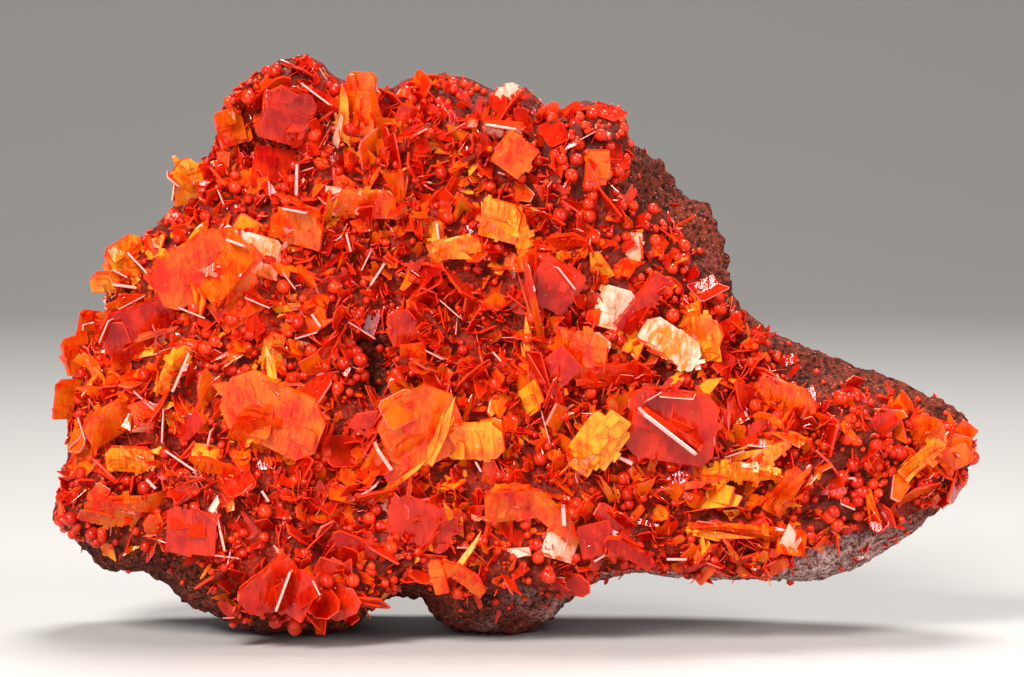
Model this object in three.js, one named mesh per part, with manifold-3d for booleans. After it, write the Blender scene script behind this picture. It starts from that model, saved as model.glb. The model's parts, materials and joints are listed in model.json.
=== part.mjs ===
// Wulfenite and mimetite specimen: a leaning slab of brown gossan whose front is coated with
// botryoidal mimetite, from which fans of thin tabular wulfenite crystals stand out.
// Millimetres. +Z is up and the crystal face looks along -Y, so X and Z read like a front view.
// The origin is the middle of the base, on the surface that the specimen stands on.

import * as THREE from "three";
import { ImprovedNoise } from "three/addons/math/ImprovedNoise.js";
import { mergeVertices } from "three/addons/utils/BufferGeometryUtils.js";
import Module from "manifold-3d";

const wasm = await Module();
wasm.setup();

// Driving dimensions of the slab
const slabMiddle = { x: -6, z: 42 };
const slabGrid = { across: 22, deep: 3, up: 14 };
const front = { atBase: -17, lean: 0.2, noiseSeed: 2.4 };
const back = { atBase: 25, lean: -0.1, noiseSeed: 9.1, roughness: 1.6 };
const leastThickness = 9;
const tail = { from: 18, frontTaper: 0.11, backTaper: 0.2 };
const flank = { from: -48, curl: 0.016, backFrom: -40, backTaper: 0.12 };
const foot = { below: 14, curl: 0.03 };
const rim = { from: 0.82, round: 4.5, shrink: 0.055 };
const rockLumps = { height: 1.1, broad: 14, broadShare: 1.7, fine: 5.5 };

// Driving dimensions of the mimetite coat and of the gap that separate pieces keep
const coating = { thickness: 2.2, lumps: 1, lumpSize: 4, feather: [-0.4, 0.5], endsAt: 14 };
const pieceGap = 0.3;
const cutReach = 60;
const mergeReach = 1e-4;

// Silhouette of the bare rock in the front view, counter-clockwise from the lower right. It has
// one point for each step of the grid around the slab: up, across, down and back.
const rockOutline = [
  [60.4, 13], [68.4, 19], [73.2, 24], [74.6, 29], [73.4, 34], [70, 37], [62, 40], [54.5, 42.8],
  [47, 46], [42, 48], [39, 50.4], [35.2, 53.5], [34.8, 59], [33.2, 64.5], [31.6, 68.6], [28, 69.4],
  [25.5, 73], [22, 77.5], [18.3, 79.3], [16.5, 80.1], [15.6, 83.1], [11.2, 84.2], [8.7, 82.5],
  [4.5, 83.1], [1.1, 86], [-3.1, 85], [-7.9, 87.4], [-11.7, 88.4], [-14.6, 88], [-17.5, 86.9],
  [-21.3, 85.5], [-25.1, 85.6], [-30, 88], [-34.3, 91.5], [-38.4, 90], [-41.8, 87.6],
  [-45, 84.4], [-46.4, 80.8], [-47.4, 77.4], [-49.4, 74], [-52.1, 69.5], [-57, 64.7],
  [-62.3, 59.7], [-64.4, 54.7], [-64.6, 50.8], [-67.4, 46.5], [-69.8, 42], [-70.2, 36.1],
  [-70.8, 29.3], [-72.5, 22.5], [-73.6, 16.4], [-70.4, 12], [-66, 9.2], [-61, 10], [-56, 7.6],
  [-53, 3.4], [-48, 2.4], [-43.6, -2], [-37, -3.2], [-29, -3], [-25, 2.4], [-20, 6.4], [-15, 6.2],
  [-10.8, -2.2], [-4, -3.2], [3.8, -2.8], [7.6, 4.6], [13, 8.4], [21, 9.8], [30, 8.4], [42, 8.2],
  [52, 8.6],
];

// Edge of the crystal coat in the front view: past the rock on the left and the top, inside it
// along the tail and the foot, where bare rock shows
const coatOutline = [
  [72.6, 31], [69, 33.6], [61, 37], [55, 40], [47, 38.6], [43, 42.6], [39.4, 47.6],
  [33, 53.6], [27.4, 58.4], [26.6, 65.4], [20.4, 68.4], [15.4, 71.6], [17.4, 76], [18, 82],
  [17.8, 89], [2, 92], [-12, 95], [-22, 93], [-34, 97], [-43, 92], [-50, 87], [-48.6, 80],
  [-54, 77], [-66, 66], [-71, 55], [-76, 46], [-78, 30], [-76, 18], [-66, 15.4], [-56, 15.8],
  [-48, 13], [-45, 6.4], [-36, 3.4], [-28, 4.6], [-19, 9.4], [-14.6, 12.6], [-9, 8],
  [-4, 8.4], [1, 9.6], [7, 8], [10, 11.4], [20, 12], [34, 10.6], [42, 11.4], [47, 15],
  [53, 17], [60, 18], [66, 21], [71.4, 24.4],
];

// Swellings and hollows of the front: middle, half width and half height, and how far forward
const relief = [
  { name: "upper left lobe", at: [-35, 87], half: [12, 6], forward: 6.5 },
  { name: "groove under it", at: [-36, 77.4], half: [10, 2.6], forward: -6 },
  { name: "upper right lobe", at: [8, 78], half: [10, 9], forward: 4.5 },
  { name: "bare shelf", at: [28, 65], half: [8, 11], forward: -5 },
  { name: "vug", at: [-22.5, 44], half: [4.5, 7], forward: -5 },
  { name: "left flank", at: [-60, 44], half: [15, 24], forward: 2.5 },
  { name: "lower left foot", at: [-36, 7], half: [11, 8], forward: 4 },
  { name: "tail groove", at: [47.5, 42], half: [7, 3], forward: -4 },
  { name: "tail pocket", at: [51, 20.5], half: [5, 4], forward: -2 },
];

// Vug in the coat, where the rock shows between the crystals
const vug = { at: [-22.6, 44], half: [2.6, 6.2], turn: 0.25 };

// Places where mimetite balls crowd together: middle, spread and number
const ballGroups = [
  { at: [10, 76], spread: [6, 7], count: 9 },
  { at: [21, 63], spread: [4, 5], count: 4 },
  { at: [36, 48], spread: [4, 3], count: 3 },
  { at: [56, 35], spread: [5, 3], count: 3 },
  { at: [-64, 29], spread: [6, 4], count: 3 },
  { at: [-36, 24], spread: [5, 4], count: 3 },
  { at: [5, 12], spread: [3, 2], count: 2 },
  { at: [-44, 83], spread: [3, 3], count: 2 },
];
const ball = { radius: [1.4, 2.2], proud: 0.3 };

// Small wulfenite tablets that are grown together with the coat, on a jittered lattice
const druse = { from: [-72, 4], to: [72, 92], pitch: 9.4, jitter: 3, size: [3.4, 6], tip: [30, 75] };
const druseRimShare = 0.94;

// Wulfenite fans. Each names its finish and its main tablets: middle in the front view, width
// and height, turn in the view, how far the face is swung sideways (yaw) and tipped forwards
// (pitch), in degrees, and the share of the corners that is cut away, at the top and at the
// bottom. out is how far the middle stands in front of the coat; a tablet without it is
// rooted by its deepest corner.
const fans = [
  { name: "upper_left_leaf", finish: "amber", tablets: [
    { at: [-52.6, 73], out: 2.2, size: [5, 7.4], turn: 4, yaw: 24, pitch: 14, cut: [0.7, 0] }] },
  { name: "shoulder_plate", finish: "orange", tablets: [
    { at: [-50.4, 59.6], out: 4, size: [15, 9.6], turn: 22, yaw: 16, pitch: 26, cut: [0.35, 0.25] },
    { at: [-46.6, 60], out: 3, size: [8, 11], turn: -38, yaw: -22, pitch: 8 }] },
  { name: "shoulder_cream", finish: "pale", tablets: [
    { at: [-41, 61.4], size: [7.4, 6.4], turn: -12, yaw: 18, pitch: -14 }] },
  { name: "left_yellow_tuft", finish: "amber", tablets: [
    { at: [-62.4, 60.6], out: 2.4, size: [6.6, 6.4], turn: 24, yaw: 30, pitch: 16 },
    { at: [-64.4, 56.8], out: 2, size: [8, 3.6], turn: 8, yaw: -14, pitch: 34 }] },
  { name: "left_broad_plate", finish: "red", tablets: [
    { at: [-58.6, 50], size: [14.6, 8.6], turn: 14, yaw: 12, pitch: 24, cut: [0.25, 0.3] }] },
  { name: "left_rim_upper", finish: "orange", tablets: [
    { at: [-70, 45.4], out: 1, size: [6.4, 6], turn: 12, yaw: 34, pitch: 10 },
    { at: [-68.6, 50.2], out: 0.6, size: [4, 4], turn: -10, yaw: 40, pitch: 0 }] },
  { name: "left_rim_lower", finish: "orange", tablets: [
    { at: [-71.4, 38], size: [6, 6.6], turn: -8, yaw: 32, pitch: 12 }] },
  { name: "left_standing_blade", finish: "amber", tablets: [
    { at: [-54, 43.6], size: [3.4, 8.8], turn: -26, yaw: 36, pitch: 8, cut: [0.6, 0] }] },
  { name: "great_left_tablet", finish: "orange", tablets: [
    { at: [-38.2, 36.8], out: 4.8, size: [17, 11], turn: -21, yaw: -12, pitch: 20, cut: [0.35, 0.3] },
    { at: [-40, 33.4], out: 3, size: [10, 8], turn: -30, yaw: 14, pitch: 42 }] },
  { name: "blade_above_tablet", finish: "amber", tablets: [
    { at: [-38.6, 46], size: [3.2, 6.8], turn: -8, yaw: 24, pitch: 12, cut: [0.7, 0] }] },
  { name: "saddle_plate", finish: "orange", tablets: [
    { at: [-34.8, 66], out: 3, size: [8.6, 6], turn: -8, yaw: -14, pitch: 26, cut: [0.5, 0] },
    { at: [-35, 61.4], out: 2.4, size: [8, 4], turn: -6, yaw: 10, pitch: 30 }] },
  { name: "groove_plate", finish: "red", tablets: [
    { at: [-38.4, 75], size: [7.6, 6.6], turn: -8, yaw: 12, pitch: -10, cut: [0.1, 0] }] },
  { name: "long_red_blade", finish: "orange", tablets: [
    { at: [-46.8, 28], size: [10.4, 2.8], turn: -25, yaw: 6, pitch: 34, cut: [0.5, 0.5] }] },
  { name: "flank_ridge", finish: "orange", tablets: [
    { at: [-63.6, 35.6], size: [10.6, 5.6], turn: 22, yaw: 14, pitch: 30 }] },
  { name: "flank_glow", finish: "amber", tablets: [
    { at: [-61, 29.4], size: [8, 4.4], turn: 4, yaw: -12, pitch: 28 }] },
  { name: "lower_left_fan", finish: "orange", tablets: [
    { at: [-63, 21.4], out: 2.6, size: [10.6, 5.4], turn: -6, yaw: 10, pitch: 34, cut: [0.3, 0.4] }] },
  { name: "lower_red_table", finish: "red", tablets: [
    { at: [-51, 18.4], out: 3, size: [8, 7], turn: -4, yaw: -10, pitch: 6, cut: [0.1, 0] },
    { at: [-46, 18.6], out: 3.4, size: [4.4, 7.2], turn: 10, yaw: 78, pitch: 0, cut: [0.1, 0] }] },
  { name: "cream_leaflet", finish: "pale", tablets: [
    { at: [-28.8, 69.8], size: [2.6, 4.6], turn: -8, yaw: 20, pitch: -10 }] },
  { name: "tall_crest_plate", finish: "orange", tablets: [
    { at: [-24.8, 84], out: 3.6, size: [4.8, 13], turn: -2, yaw: -18, pitch: 6, cut: [0.3, 0.1] },
    { at: [-28.2, 81.4], out: 3.8, size: [2, 6.4], turn: -11, yaw: 16, pitch: 0, cut: [0.3, 0] },
    { at: [-22.6, 79], out: 3, size: [8, 4.4], turn: 4, yaw: 10, pitch: 36 }] },
  { name: "upper_left_sheet", finish: "red", tablets: [
    { at: [-36.4, 83.6], out: 0.6, size: [8, 9.6], turn: -22, yaw: 14, pitch: 24, cut: [0.4, 0.2] },
    { at: [-31, 86.2], out: 0.8, size: [6, 4], turn: -36, yaw: 8, pitch: 70 }] },
  { name: "upper_left_spur", finish: "orange", tablets: [
    { at: [-45.8, 81.6], out: 1, size: [4.6, 5.8], turn: 14, yaw: 26, pitch: 8 }] },
  { name: "crest_shelf", finish: "orange", tablets: [
    { at: [-23.8, 69.6], out: 2.8, size: [9.6, 5], turn: 3, yaw: -8, pitch: 32 }] },
  { name: "centre_top_plate", finish: "amber", tablets: [
    { at: [-9.8, 62.8], out: 2.8, size: [8.2, 3.4], turn: 9, yaw: 8, pitch: 34 },
    { at: [-12.4, 65], out: 2.8, size: [1.8, 3.6], turn: 2, yaw: -20, pitch: -8 }] },
  { name: "forked_plate", finish: "amber", tablets: [
    { at: [-2.4, 67], out: 3.2, size: [6.6, 6.2], turn: -10, yaw: -20, pitch: 12, cut: [0.4, 0] },
    { at: [1, 64], out: 3, size: [2.4, 9.6], turn: 12, yaw: 34, pitch: 8, cut: [0.8, 0.2] }] },
  { name: "clear_diamond", finish: "orange", tablets: [
    { at: [-0.2, 77.4], out: 4, size: [5.4, 5.8], turn: -38, yaw: 14, pitch: 8, cut: [0.05, 0] }] },
  { name: "cream_bar", finish: "pale", tablets: [
    { at: [-2, 81.6], out: 3.2, size: [6.4, 3.2], turn: -8, yaw: 6, pitch: 62, cut: [0.2, 0] }] },
  { name: "top_yellow_chip", finish: "pale", tablets: [
    { at: [-1.4, 86.2], size: [4.2, 4], turn: 12, yaw: 22, pitch: 4, cut: [0.4, 0] }] },
  { name: "right_lobe_splinters", finish: "amber", tablets: [
    { at: [4.4, 83.6], out: 1.6, size: [1.8, 6], turn: -54, yaw: 20, pitch: 12, cut: [0.8, 0] }] },
  { name: "clear_window", finish: "orange", tablets: [
    { at: [12.8, 75.4], size: [3.6, 5.6], turn: -6, yaw: 24, pitch: 12, cut: [0.1, 0] }] },
  { name: "centre_red_table", finish: "red", tablets: [
    { at: [6, 57], out: 3.2, size: [7.6, 7.6], turn: -34, yaw: 10, pitch: 12, cut: [0.1, 0] },
    { at: [2.6, 57.4], out: 3.6, size: [4.4, 8.6], turn: 8, yaw: 72, pitch: 0, cut: [0.3, 0] }] },
  { name: "centre_red_roof", finish: "red", tablets: [
    { at: [7.6, 63], size: [7.6, 4], turn: 12, yaw: -8, pitch: 32, cut: [0.5, 0] }] },
  { name: "pink_chip", finish: "pale", tablets: [
    { at: [18.4, 62.4], size: [3.4, 5], turn: -4, yaw: -12, pitch: -14, cut: [0.1, 0] }] },
  { name: "ivory_plate", finish: "pale", tablets: [
    { at: [15.6, 53], size: [5.6, 6.8], turn: -14, yaw: 10, pitch: -12, cut: [0.3, 0] }] },
  { name: "leaning_red_strip", finish: "red", tablets: [
    { at: [20, 54], out: 3.8, size: [3.2, 11], turn: -36, yaw: 24, pitch: 8, cut: [0.2, 0.2] }] },
  { name: "mirror_plate", finish: "pale", tablets: [
    { at: [24.4, 47.8], out: 4.4, size: [10.4, 5], turn: -32, yaw: 6, pitch: -16, cut: [0.3, 0.1] }] },
  { name: "golden_pocket", finish: "amber", tablets: [
    { at: [29.6, 48.8], out: 2.6, size: [6.6, 5.6], turn: -18, yaw: -18, pitch: 20, cut: [0.4, 0] }] },
  { name: "centre_tilted_plate", finish: "orange", tablets: [
    { at: [10.2, 46.2], out: 3.2, size: [8.6, 6.8], turn: -6, yaw: -16, pitch: 18, cut: [0.3, 0] }] },
  { name: "red_beam", finish: "red", tablets: [
    { at: [15.4, 42.8], out: 3.6, size: [11.6, 3.4], turn: 6, yaw: 4, pitch: 30, cut: [0.3, 0.3] }] },
  { name: "great_red_tablet", finish: "red", tablets: [
    { at: [24.6, 35], out: 4.6, size: [14, 12], turn: -6, yaw: -8, pitch: 14, cut: [0.3, 0.25] },
    { at: [24.4, 34.4], out: 6, size: [11, 3], turn: -38, yaw: 4, pitch: 76, cut: [0.1, 0.1] }] },
  { name: "orange_side_tablet", finish: "orange", tablets: [
    { at: [17.4, 37.4], size: [6, 5], turn: 8, yaw: 18, pitch: 12, cut: [0.2, 0] }] },
  { name: "stepped_yellow", finish: "amber", tablets: [
    { at: [13.2, 32.8], out: 5, size: [7, 7.4], turn: -36, yaw: 8, pitch: 6, cut: [0.15, 0] },
    { at: [14.6, 34], out: 5.4, size: [4, 6.6], turn: -36, yaw: 10, pitch: 4, cut: [0.1, 0] },
    { at: [10.8, 29.4], out: 4.2, size: [3.6, 4], turn: -34, yaw: -6, pitch: -14, cut: [0.1, 0] }] },
  { name: "great_round_plate", finish: "orange", tablets: [
    { at: [-15, 35], out: 4.4, size: [13, 12], turn: 22, yaw: 10, pitch: 16, cut: [0.5, 0.45] },
    { at: [-19, 29], out: 3.4, size: [5, 6], turn: 28, yaw: -12, pitch: 10 }] },
  { name: "golden_wing", finish: "amber", tablets: [
    { at: [-6.8, 32.6], out: 4.2, size: [10, 6.2], turn: 8, yaw: -14, pitch: 22, cut: [0.3, 0.3] },
    { at: [-13.4, 31.6], out: 5.6, size: [3, 19], turn: -40, yaw: 26, pitch: 8, cut: [0.8, 0.8] }] },
  { name: "low_centre_plate", finish: "orange", tablets: [
    { at: [-1, 22.8], out: 3.2, size: [8, 5.8], turn: 2, yaw: 8, pitch: 28, cut: [0.3, 0] },
    { at: [5, 21.6], out: 3.6, size: [12, 3.6], turn: -38, yaw: -8, pitch: 26, cut: [0.5, 0.4] }] },
  { name: "low_cream_plates", finish: "pale", tablets: [
    { at: [6.8, 16], size: [5.4, 4.4], turn: -20, yaw: 14, pitch: 10, cut: [0.2, 0] }] },
  { name: "low_clear_plate", finish: "red", tablets: [
    { at: [12.6, 17.2], out: 2.6, size: [5.4, 5.2], turn: 12, yaw: 8, pitch: 6, cut: [0.1, 0] },
    { at: [18, 15.4], out: 2.4, size: [8.6, 2.6], turn: -36, yaw: 10, pitch: 30, cut: [0.4, 0] }] },
  { name: "tail_golden_blades", finish: "amber", tablets: [
    { at: [35.6, 27.6], out: 3.6, size: [12.4, 2.8], turn: 4, yaw: -6, pitch: 36, cut: [0.8, 0.4] },
    { at: [40.6, 30.6], out: 3, size: [6, 2.4], turn: 32, yaw: 16, pitch: 20, cut: [0.9, 0] }] },
  { name: "tail_standing_blades", finish: "orange", tablets: [
    { at: [42.6, 24.4], out: 2.8, size: [3.4, 8.4], turn: -32, yaw: 26, pitch: 8, cut: [0.8, 0] }] },
  { name: "tail_curled_plate", finish: "orange", tablets: [
    { at: [42.6, 38.6], size: [11, 5.6], turn: -14, yaw: -14, pitch: 22, cut: [0.4, 0.5] }] },
  { name: "tail_tip_blades", finish: "amber", tablets: [
    { at: [64.8, 29], out: 2.2, size: [2.4, 8.6], turn: -46, yaw: 22, pitch: 10, cut: [0.4, 0] }] },
  { name: "tail_top_plate", finish: "orange", tablets: [
    { at: [65.6, 33.4], size: [6, 4.4], turn: -24, yaw: 14, pitch: 20, cut: [0.4, 0] }] },
  { name: "tail_foot_ledge", finish: "orange", tablets: [
    { at: [36, 18.4], out: 3, size: [16, 3.4], turn: -1, yaw: -4, pitch: 62, cut: [0.4, 0.4] },
    { at: [43.4, 16.6], out: 2.4, size: [4.6, 4.2], turn: -8, yaw: 10, pitch: -10, cut: [0.3, 0] }] },
  { name: "foot_red_tent", finish: "red", tablets: [
    { at: [-38.6, 10.4], out: 2.8, size: [10.6, 5.6], turn: 36, yaw: 14, pitch: 22, cut: [0.2, 0.3] },
    { at: [-34.2, 9.2], out: 3, size: [5.4, 7.4], turn: -26, yaw: -20, pitch: 10, cut: [0.5, 0] }] },
  { name: "foot_middle_plate", finish: "red", tablets: [
    { at: [-26, 15], size: [8, 6], turn: -26, yaw: 12, pitch: 18, cut: [0.2, 0] }] },
  { name: "foot_wide_window", finish: "red", tablets: [
    { at: [-15, 19.4], out: 3, size: [10.6, 7.6], turn: -14, yaw: -8, pitch: 14, cut: [0.3, 0.3] }] },
  { name: "foot_right_blades", finish: "orange", tablets: [
    { at: [-8, 11.4], out: 2.2, size: [8, 2.6], turn: -42, yaw: 10, pitch: 28, cut: [0.5, 0] },
    { at: [-12.2, 11.4], out: 1.8, size: [2.2, 5.6], turn: 14, yaw: -24, pitch: 6, cut: [0.5, 0] }] },
];
// Placed tablets that are too small to be fans of their own: they are one with the coat
const singleTablets = [
  { at: [-46.6, 72.6], size: [3.4, 5.4], turn: 8, yaw: -20, pitch: 20 },
  { at: [-67.6, 20], size: [5, 5.4], turn: -28, yaw: 30, pitch: 14 },
  { at: [-43, 86.8], size: [2, 5.2], turn: -44, yaw: 20, pitch: 10, cut: [0.7, 0] },
  { at: [-17.2, 71.8], size: [2, 5.8], turn: -14, yaw: 26, pitch: 10, cut: [0.6, 0] },
  { at: [-6, 78.6], size: [4.4, 3.2], turn: -10, yaw: 14, pitch: 10, cut: [0.6, 0] },
  { at: [6.6, 82], size: [5, 1.6], turn: 14, yaw: 8, pitch: 20, cut: [0.6, 0] },
  { at: [22, 51.8], size: [2.4, 6], turn: -18, yaw: 26, pitch: 6, cut: [0.7, 0] },
  { at: [31.6, 52], size: [3.4, 4.4], turn: 12, yaw: 20, pitch: 8 },
  { at: [3.4, 47.8], size: [2.8, 9.4], turn: -6, yaw: 30, pitch: 10, cut: [0.8, 0] },
  { at: [45.8, 27.4], size: [1.8, 6.8], turn: -6, yaw: 28, pitch: 4, cut: [0.8, 0] },
  { at: [57.6, 22], size: [2.2, 7], turn: 12, yaw: -22, pitch: 8, cut: [0.8, 0] },
  { at: [34.6, 13.6], size: [4.4, 4.6], turn: 18, yaw: 20, pitch: 16, cut: [0.5, 0] },
  { at: [-9.6, 22.4], size: [2.6, 5.4], turn: 6, yaw: 30, pitch: 8, cut: [0.3, 0] },
];
const tabletThickness = [0.7, 1.1];
const plainThickness = 0.8;
const tabletRoot = 1;
const lyingStandOff = 0.7;
const prop = { width: [0.4, 0.6], overlap: 0.4, turn: [-50, 50], pitch: [80, 90] };
const seeds = { fans: 29, balls: 11, druse: 47 };

const finishes = {
  red: new THREE.MeshStandardMaterial({ color: 0xc4200c, roughness: 0.2, metalness: 0 }),
  orange: new THREE.MeshStandardMaterial({ color: 0xe8500f, roughness: 0.2, metalness: 0 }),
  amber: new THREE.MeshStandardMaterial({ color: 0xf08a1c, roughness: 0.2, metalness: 0 }),
  pale: new THREE.MeshStandardMaterial({ color: 0xf2b48c, roughness: 0.15, metalness: 0 }),
  rock: new THREE.MeshStandardMaterial({ color: 0x54281c, roughness: 0.95, metalness: 0 }),
  mimetite: new THREE.MeshStandardMaterial({ color: 0xb8200c, roughness: 0.4, metalness: 0 }),
};

const perlin = new ImprovedNoise();
const { lerp, smoothstep, seededRandom, degToRad } = THREE.MathUtils;
const between = ([low, high]) => lerp(low, high, seededRandom());

// Solids and meshes

function solidFrom(geometry) {
  const bare = geometry.clone().deleteAttribute("normal").deleteAttribute("uv");
  const merged = mergeVertices(bare, mergeReach);
  return new wasm.Manifold(
    new wasm.Mesh({
      numProp: 3,
      vertProperties: new Float32Array(merged.attributes.position.array),
      triVerts: new Uint32Array(merged.index.array),
    }),
  );
}

function meshFrom(solid, name, material) {
  const { vertProperties, triVerts } = solid.getMesh();
  const geometry = new THREE.BufferGeometry();
  geometry.setAttribute("position", new THREE.BufferAttribute(new Float32Array(vertProperties), 3));
  geometry.setIndex(new THREE.BufferAttribute(new Uint32Array(triVerts), 1));
  geometry.computeVertexNormals();
  const mesh = new THREE.Mesh(geometry, material);
  mesh.name = name;
  return mesh;
}

const joined = (solids) => solids.reduce((whole, solid) => whole.add(solid));

function largestBody(solid) {
  return solid.decompose().reduce((best, body) => (body.volume() > best.volume() ? body : best));
}

// Front view outlines

function radiusOf(outline) {
  const polar = outline
    .map(([x, z]) => [x - slabMiddle.x, z - slabMiddle.z])
    .map(([x, z]) => ({ angle: Math.atan2(z, x), radius: Math.hypot(x, z) }))
    .sort((a, b) => a.angle - b.angle);
  const last = polar[polar.length - 1];
  polar.unshift({ ...last, angle: last.angle - 2 * Math.PI });
  polar.push({ ...polar[1], angle: polar[1].angle + 2 * Math.PI });
  return (angle) => {
    const next = polar.findIndex((point) => point.angle > angle);
    const [a, b] = [polar[next - 1], polar[next]];
    return lerp(a.radius, b.radius, (angle - a.angle) / (b.angle - a.angle));
  };
}

const rockRadius = radiusOf(rockOutline);

// Slab surfaces, as depth along Y for a point of the front view

function reliefAt(x, z) {
  return relief.reduce((sum, { at, half, forward }) => {
    const away = ((x - at[0]) / half[0]) ** 2 + ((z - at[1]) / half[1]) ** 2;
    return sum + forward * Math.exp(-away);
  }, 0);
}

function lumpsAt(x, z, seed) {
  const broad = perlin.noise(x / rockLumps.broad, z / rockLumps.broad, seed);
  const fine = perlin.noise(x / rockLumps.fine, z / rockLumps.fine, 2 * seed + 1);
  return rockLumps.height * (rockLumps.broadShare * broad + fine);
}

function frontDepth(x, z) {
  const tapered = tail.frontTaper * Math.max(0, x - tail.from);
  const curled = flank.curl * Math.max(0, flank.from - x) ** 2;
  const undercut = foot.curl * Math.max(0, foot.below - z) ** 2;
  const plane = front.atBase + front.lean * z;
  return plane + tapered + curled + undercut - reliefAt(x, z) + lumpsAt(x, z, front.noiseSeed);
}

function backDepth(x, z) {
  const tapered = tail.backTaper * Math.max(0, x - tail.from);
  const curled = flank.backTaper * Math.max(0, flank.backFrom - x);
  const plane = back.atBase + back.lean * z;
  return plane - tapered - curled + back.roughness * lumpsAt(x, z, back.noiseSeed);
}

// Steps along the rock's outline to the point that a point of the square's edge stands for
function rimStepsTo(u, v) {
  const { across, up } = slabGrid;
  if (u === 1) return (up * (v + 1)) / 2;
  if (v === 1) return up + (across * (1 - u)) / 2;
  if (u === -1) return up + across + (up * (1 - v)) / 2;
  return 2 * up + across + (across * (u + 1)) / 2;
}

function rimPointAt(steps) {
  const [a, b] = [0, 1].map((i) => rockOutline.at((Math.floor(steps) + i) % rockOutline.length));
  return new THREE.Vector2(...a).lerp(new THREE.Vector2(...b), steps - Math.floor(steps));
}

function rimNormalAt(steps) {
  const along = rimPointAt(steps + 1).sub(rimPointAt(steps - 1)).normalize();
  return new THREE.Vector2(along.y, -along.x);
}

// The slab, grown by a clearance on every side and by a coat on its front and its rim
function slabGeometry(clearance, coatOver) {
  const { across, deep, up } = slabGrid;
  const box = new THREE.BoxGeometry(2, 2, 2, across, deep, up);
  const geometry = mergeVertices(box.deleteAttribute("normal").deleteAttribute("uv"), mergeReach);
  const place = geometry.attributes.position;
  const centre = new THREE.Vector2(slabMiddle.x, slabMiddle.z);
  for (let i = 0; i < place.count; i++) {
    const [u, w, v] = [place.getX(i), place.getY(i), place.getZ(i)];
    const share = Math.max(Math.abs(u), Math.abs(v));
    const steps = rimStepsTo(u / (share || 1), v / (share || 1));
    const scale = share * (1 - rim.shrink * Math.abs(w) ** 3);
    const { x, y: z } = centre.clone().lerp(rimPointAt(steps), scale);
    const nearFace = frontDepth(x, z) + rimDepth(share);
    const farFace = Math.max(backDepth(x, z) - rimDepth(share), nearFace + leastThickness);
    const coat = coatOver(x, z);
    const outwards = share === 1 ? clearance + coat * smoothstep(-w, ...coating.feather) : 0;
    const normal = rimNormalAt(steps).multiplyScalar(outwards);
    const depth = lerp(nearFace - coat - clearance, farFace + clearance, (w + 1) / 2);
    place.setXYZ(i, x + normal.x, depth, Math.max(z + normal.y, 0));
  }
  return geometry;
}

function coatAt(x, z) {
  const lump = perlin.noise(x / coating.lumpSize, z / coating.lumpSize, coating.thickness);
  return coating.thickness + coating.lumps * lump;
}

// How far out a point of the front view lies, from 0 in the middle to 1 on the bare rock's edge
function shareAt(x, z) {
  const [dx, dz] = [x - slabMiddle.x, z - slabMiddle.z];
  return Math.hypot(dx, dz) / rockRadius(Math.atan2(dz, dx));
}

const rimDepth = (share) => rim.round * smoothstep(share, rim.from, 1);
const surfaceAt = (x, z) => frontDepth(x, z) + rimDepth(shareAt(x, z)) - coatAt(x, z);

function outlinePrism(outline, endsAt) {
  const shape = new THREE.Shape(outline.map(([x, z]) => new THREE.Vector2(x, z)));
  const prism = new THREE.ExtrudeGeometry(shape, { depth: cutReach + endsAt, bevelEnabled: false });
  return solidFrom(prism.rotateX(Math.PI / 2).translate(0, endsAt, 0));
}

function vugPrism({ at, half, turn }) {
  const prism = new THREE.CylinderGeometry(1, 1, cutReach, 8).scale(half[0], 1, half[1]);
  return solidFrom(prism.rotateY(-turn).translate(at[0], 0, at[1]));
}

const coatSheet = (clearance) =>
  solidFrom(slabGeometry(clearance, coatAt)).intersect(outlinePrism(coatOutline, coating.endsAt));

// Wulfenite tablets: flat prisms with cut corners, facing the front before they are turned

function tabletGeometry([width, height], thickness, [topCut, bottomCut]) {
  const [a, b] = [width / 2, height / 2];
  const corner = (x, z, cut) => {
    if (!cut) return [new THREE.Vector2(x * a, z * b)];
    const [cutX, cutZ] = [cut * a, Math.min(cut * a, 0.9 * b)];
    const upright = new THREE.Vector2(x * a, z * (b - cutZ));
    const level = new THREE.Vector2(x * (a - cutX), z * b);
    return x * z > 0 ? [upright, level] : [level, upright];
  };
  const shape = new THREE.Shape([
    ...corner(1, 1, topCut), ...corner(-1, 1, topCut),
    ...corner(-1, -1, bottomCut), ...corner(1, -1, bottomCut),
  ]);
  const prism = new THREE.ExtrudeGeometry(shape, { depth: thickness, bevelEnabled: false });
  return prism.translate(0, 0, -thickness / 2).rotateX(Math.PI / 2);
}

function tabletSolid(tablet, extra) {
  const { at, size, turn, yaw = 0, pitch, cut = [0.3, 0], thickness = plainThickness } = tablet;
  const [sideways, forwards] = [yaw, pitch].map((tip) => Math.abs(Math.sin(degToRad(tip))));
  const deepest = (size[0] * sideways + size[1] * forwards) / 2;
  const { out = Math.max(deepest - tabletRoot, lyingStandOff) } = tablet;
  const grown = size.map((side) => side + 2 * extra);
  const turned = new THREE.Euler(degToRad(pitch), degToRad(-turn), degToRad(yaw), "YXZ");
  const matrix = new THREE.Matrix4().makeRotationFromEuler(turned);
  matrix.setPosition(at[0], surfaceAt(...at) - out, at[1]);
  return solidFrom(tabletGeometry(grown, thickness + 2 * extra, cut).applyMatrix4(matrix));
}

// The short tablet behind a raised one, which roots it in the coat
function propFor({ at, out, size, turn }) {
  return {
    at,
    out: (out - tabletRoot) / 2,
    size: [between(prop.width) * size[0], out + tabletRoot + prop.overlap],
    turn: turn + between(prop.turn),
    pitch: between(prop.pitch),
    cut: [0, 0],
    thickness: between(tabletThickness),
  };
}

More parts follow.
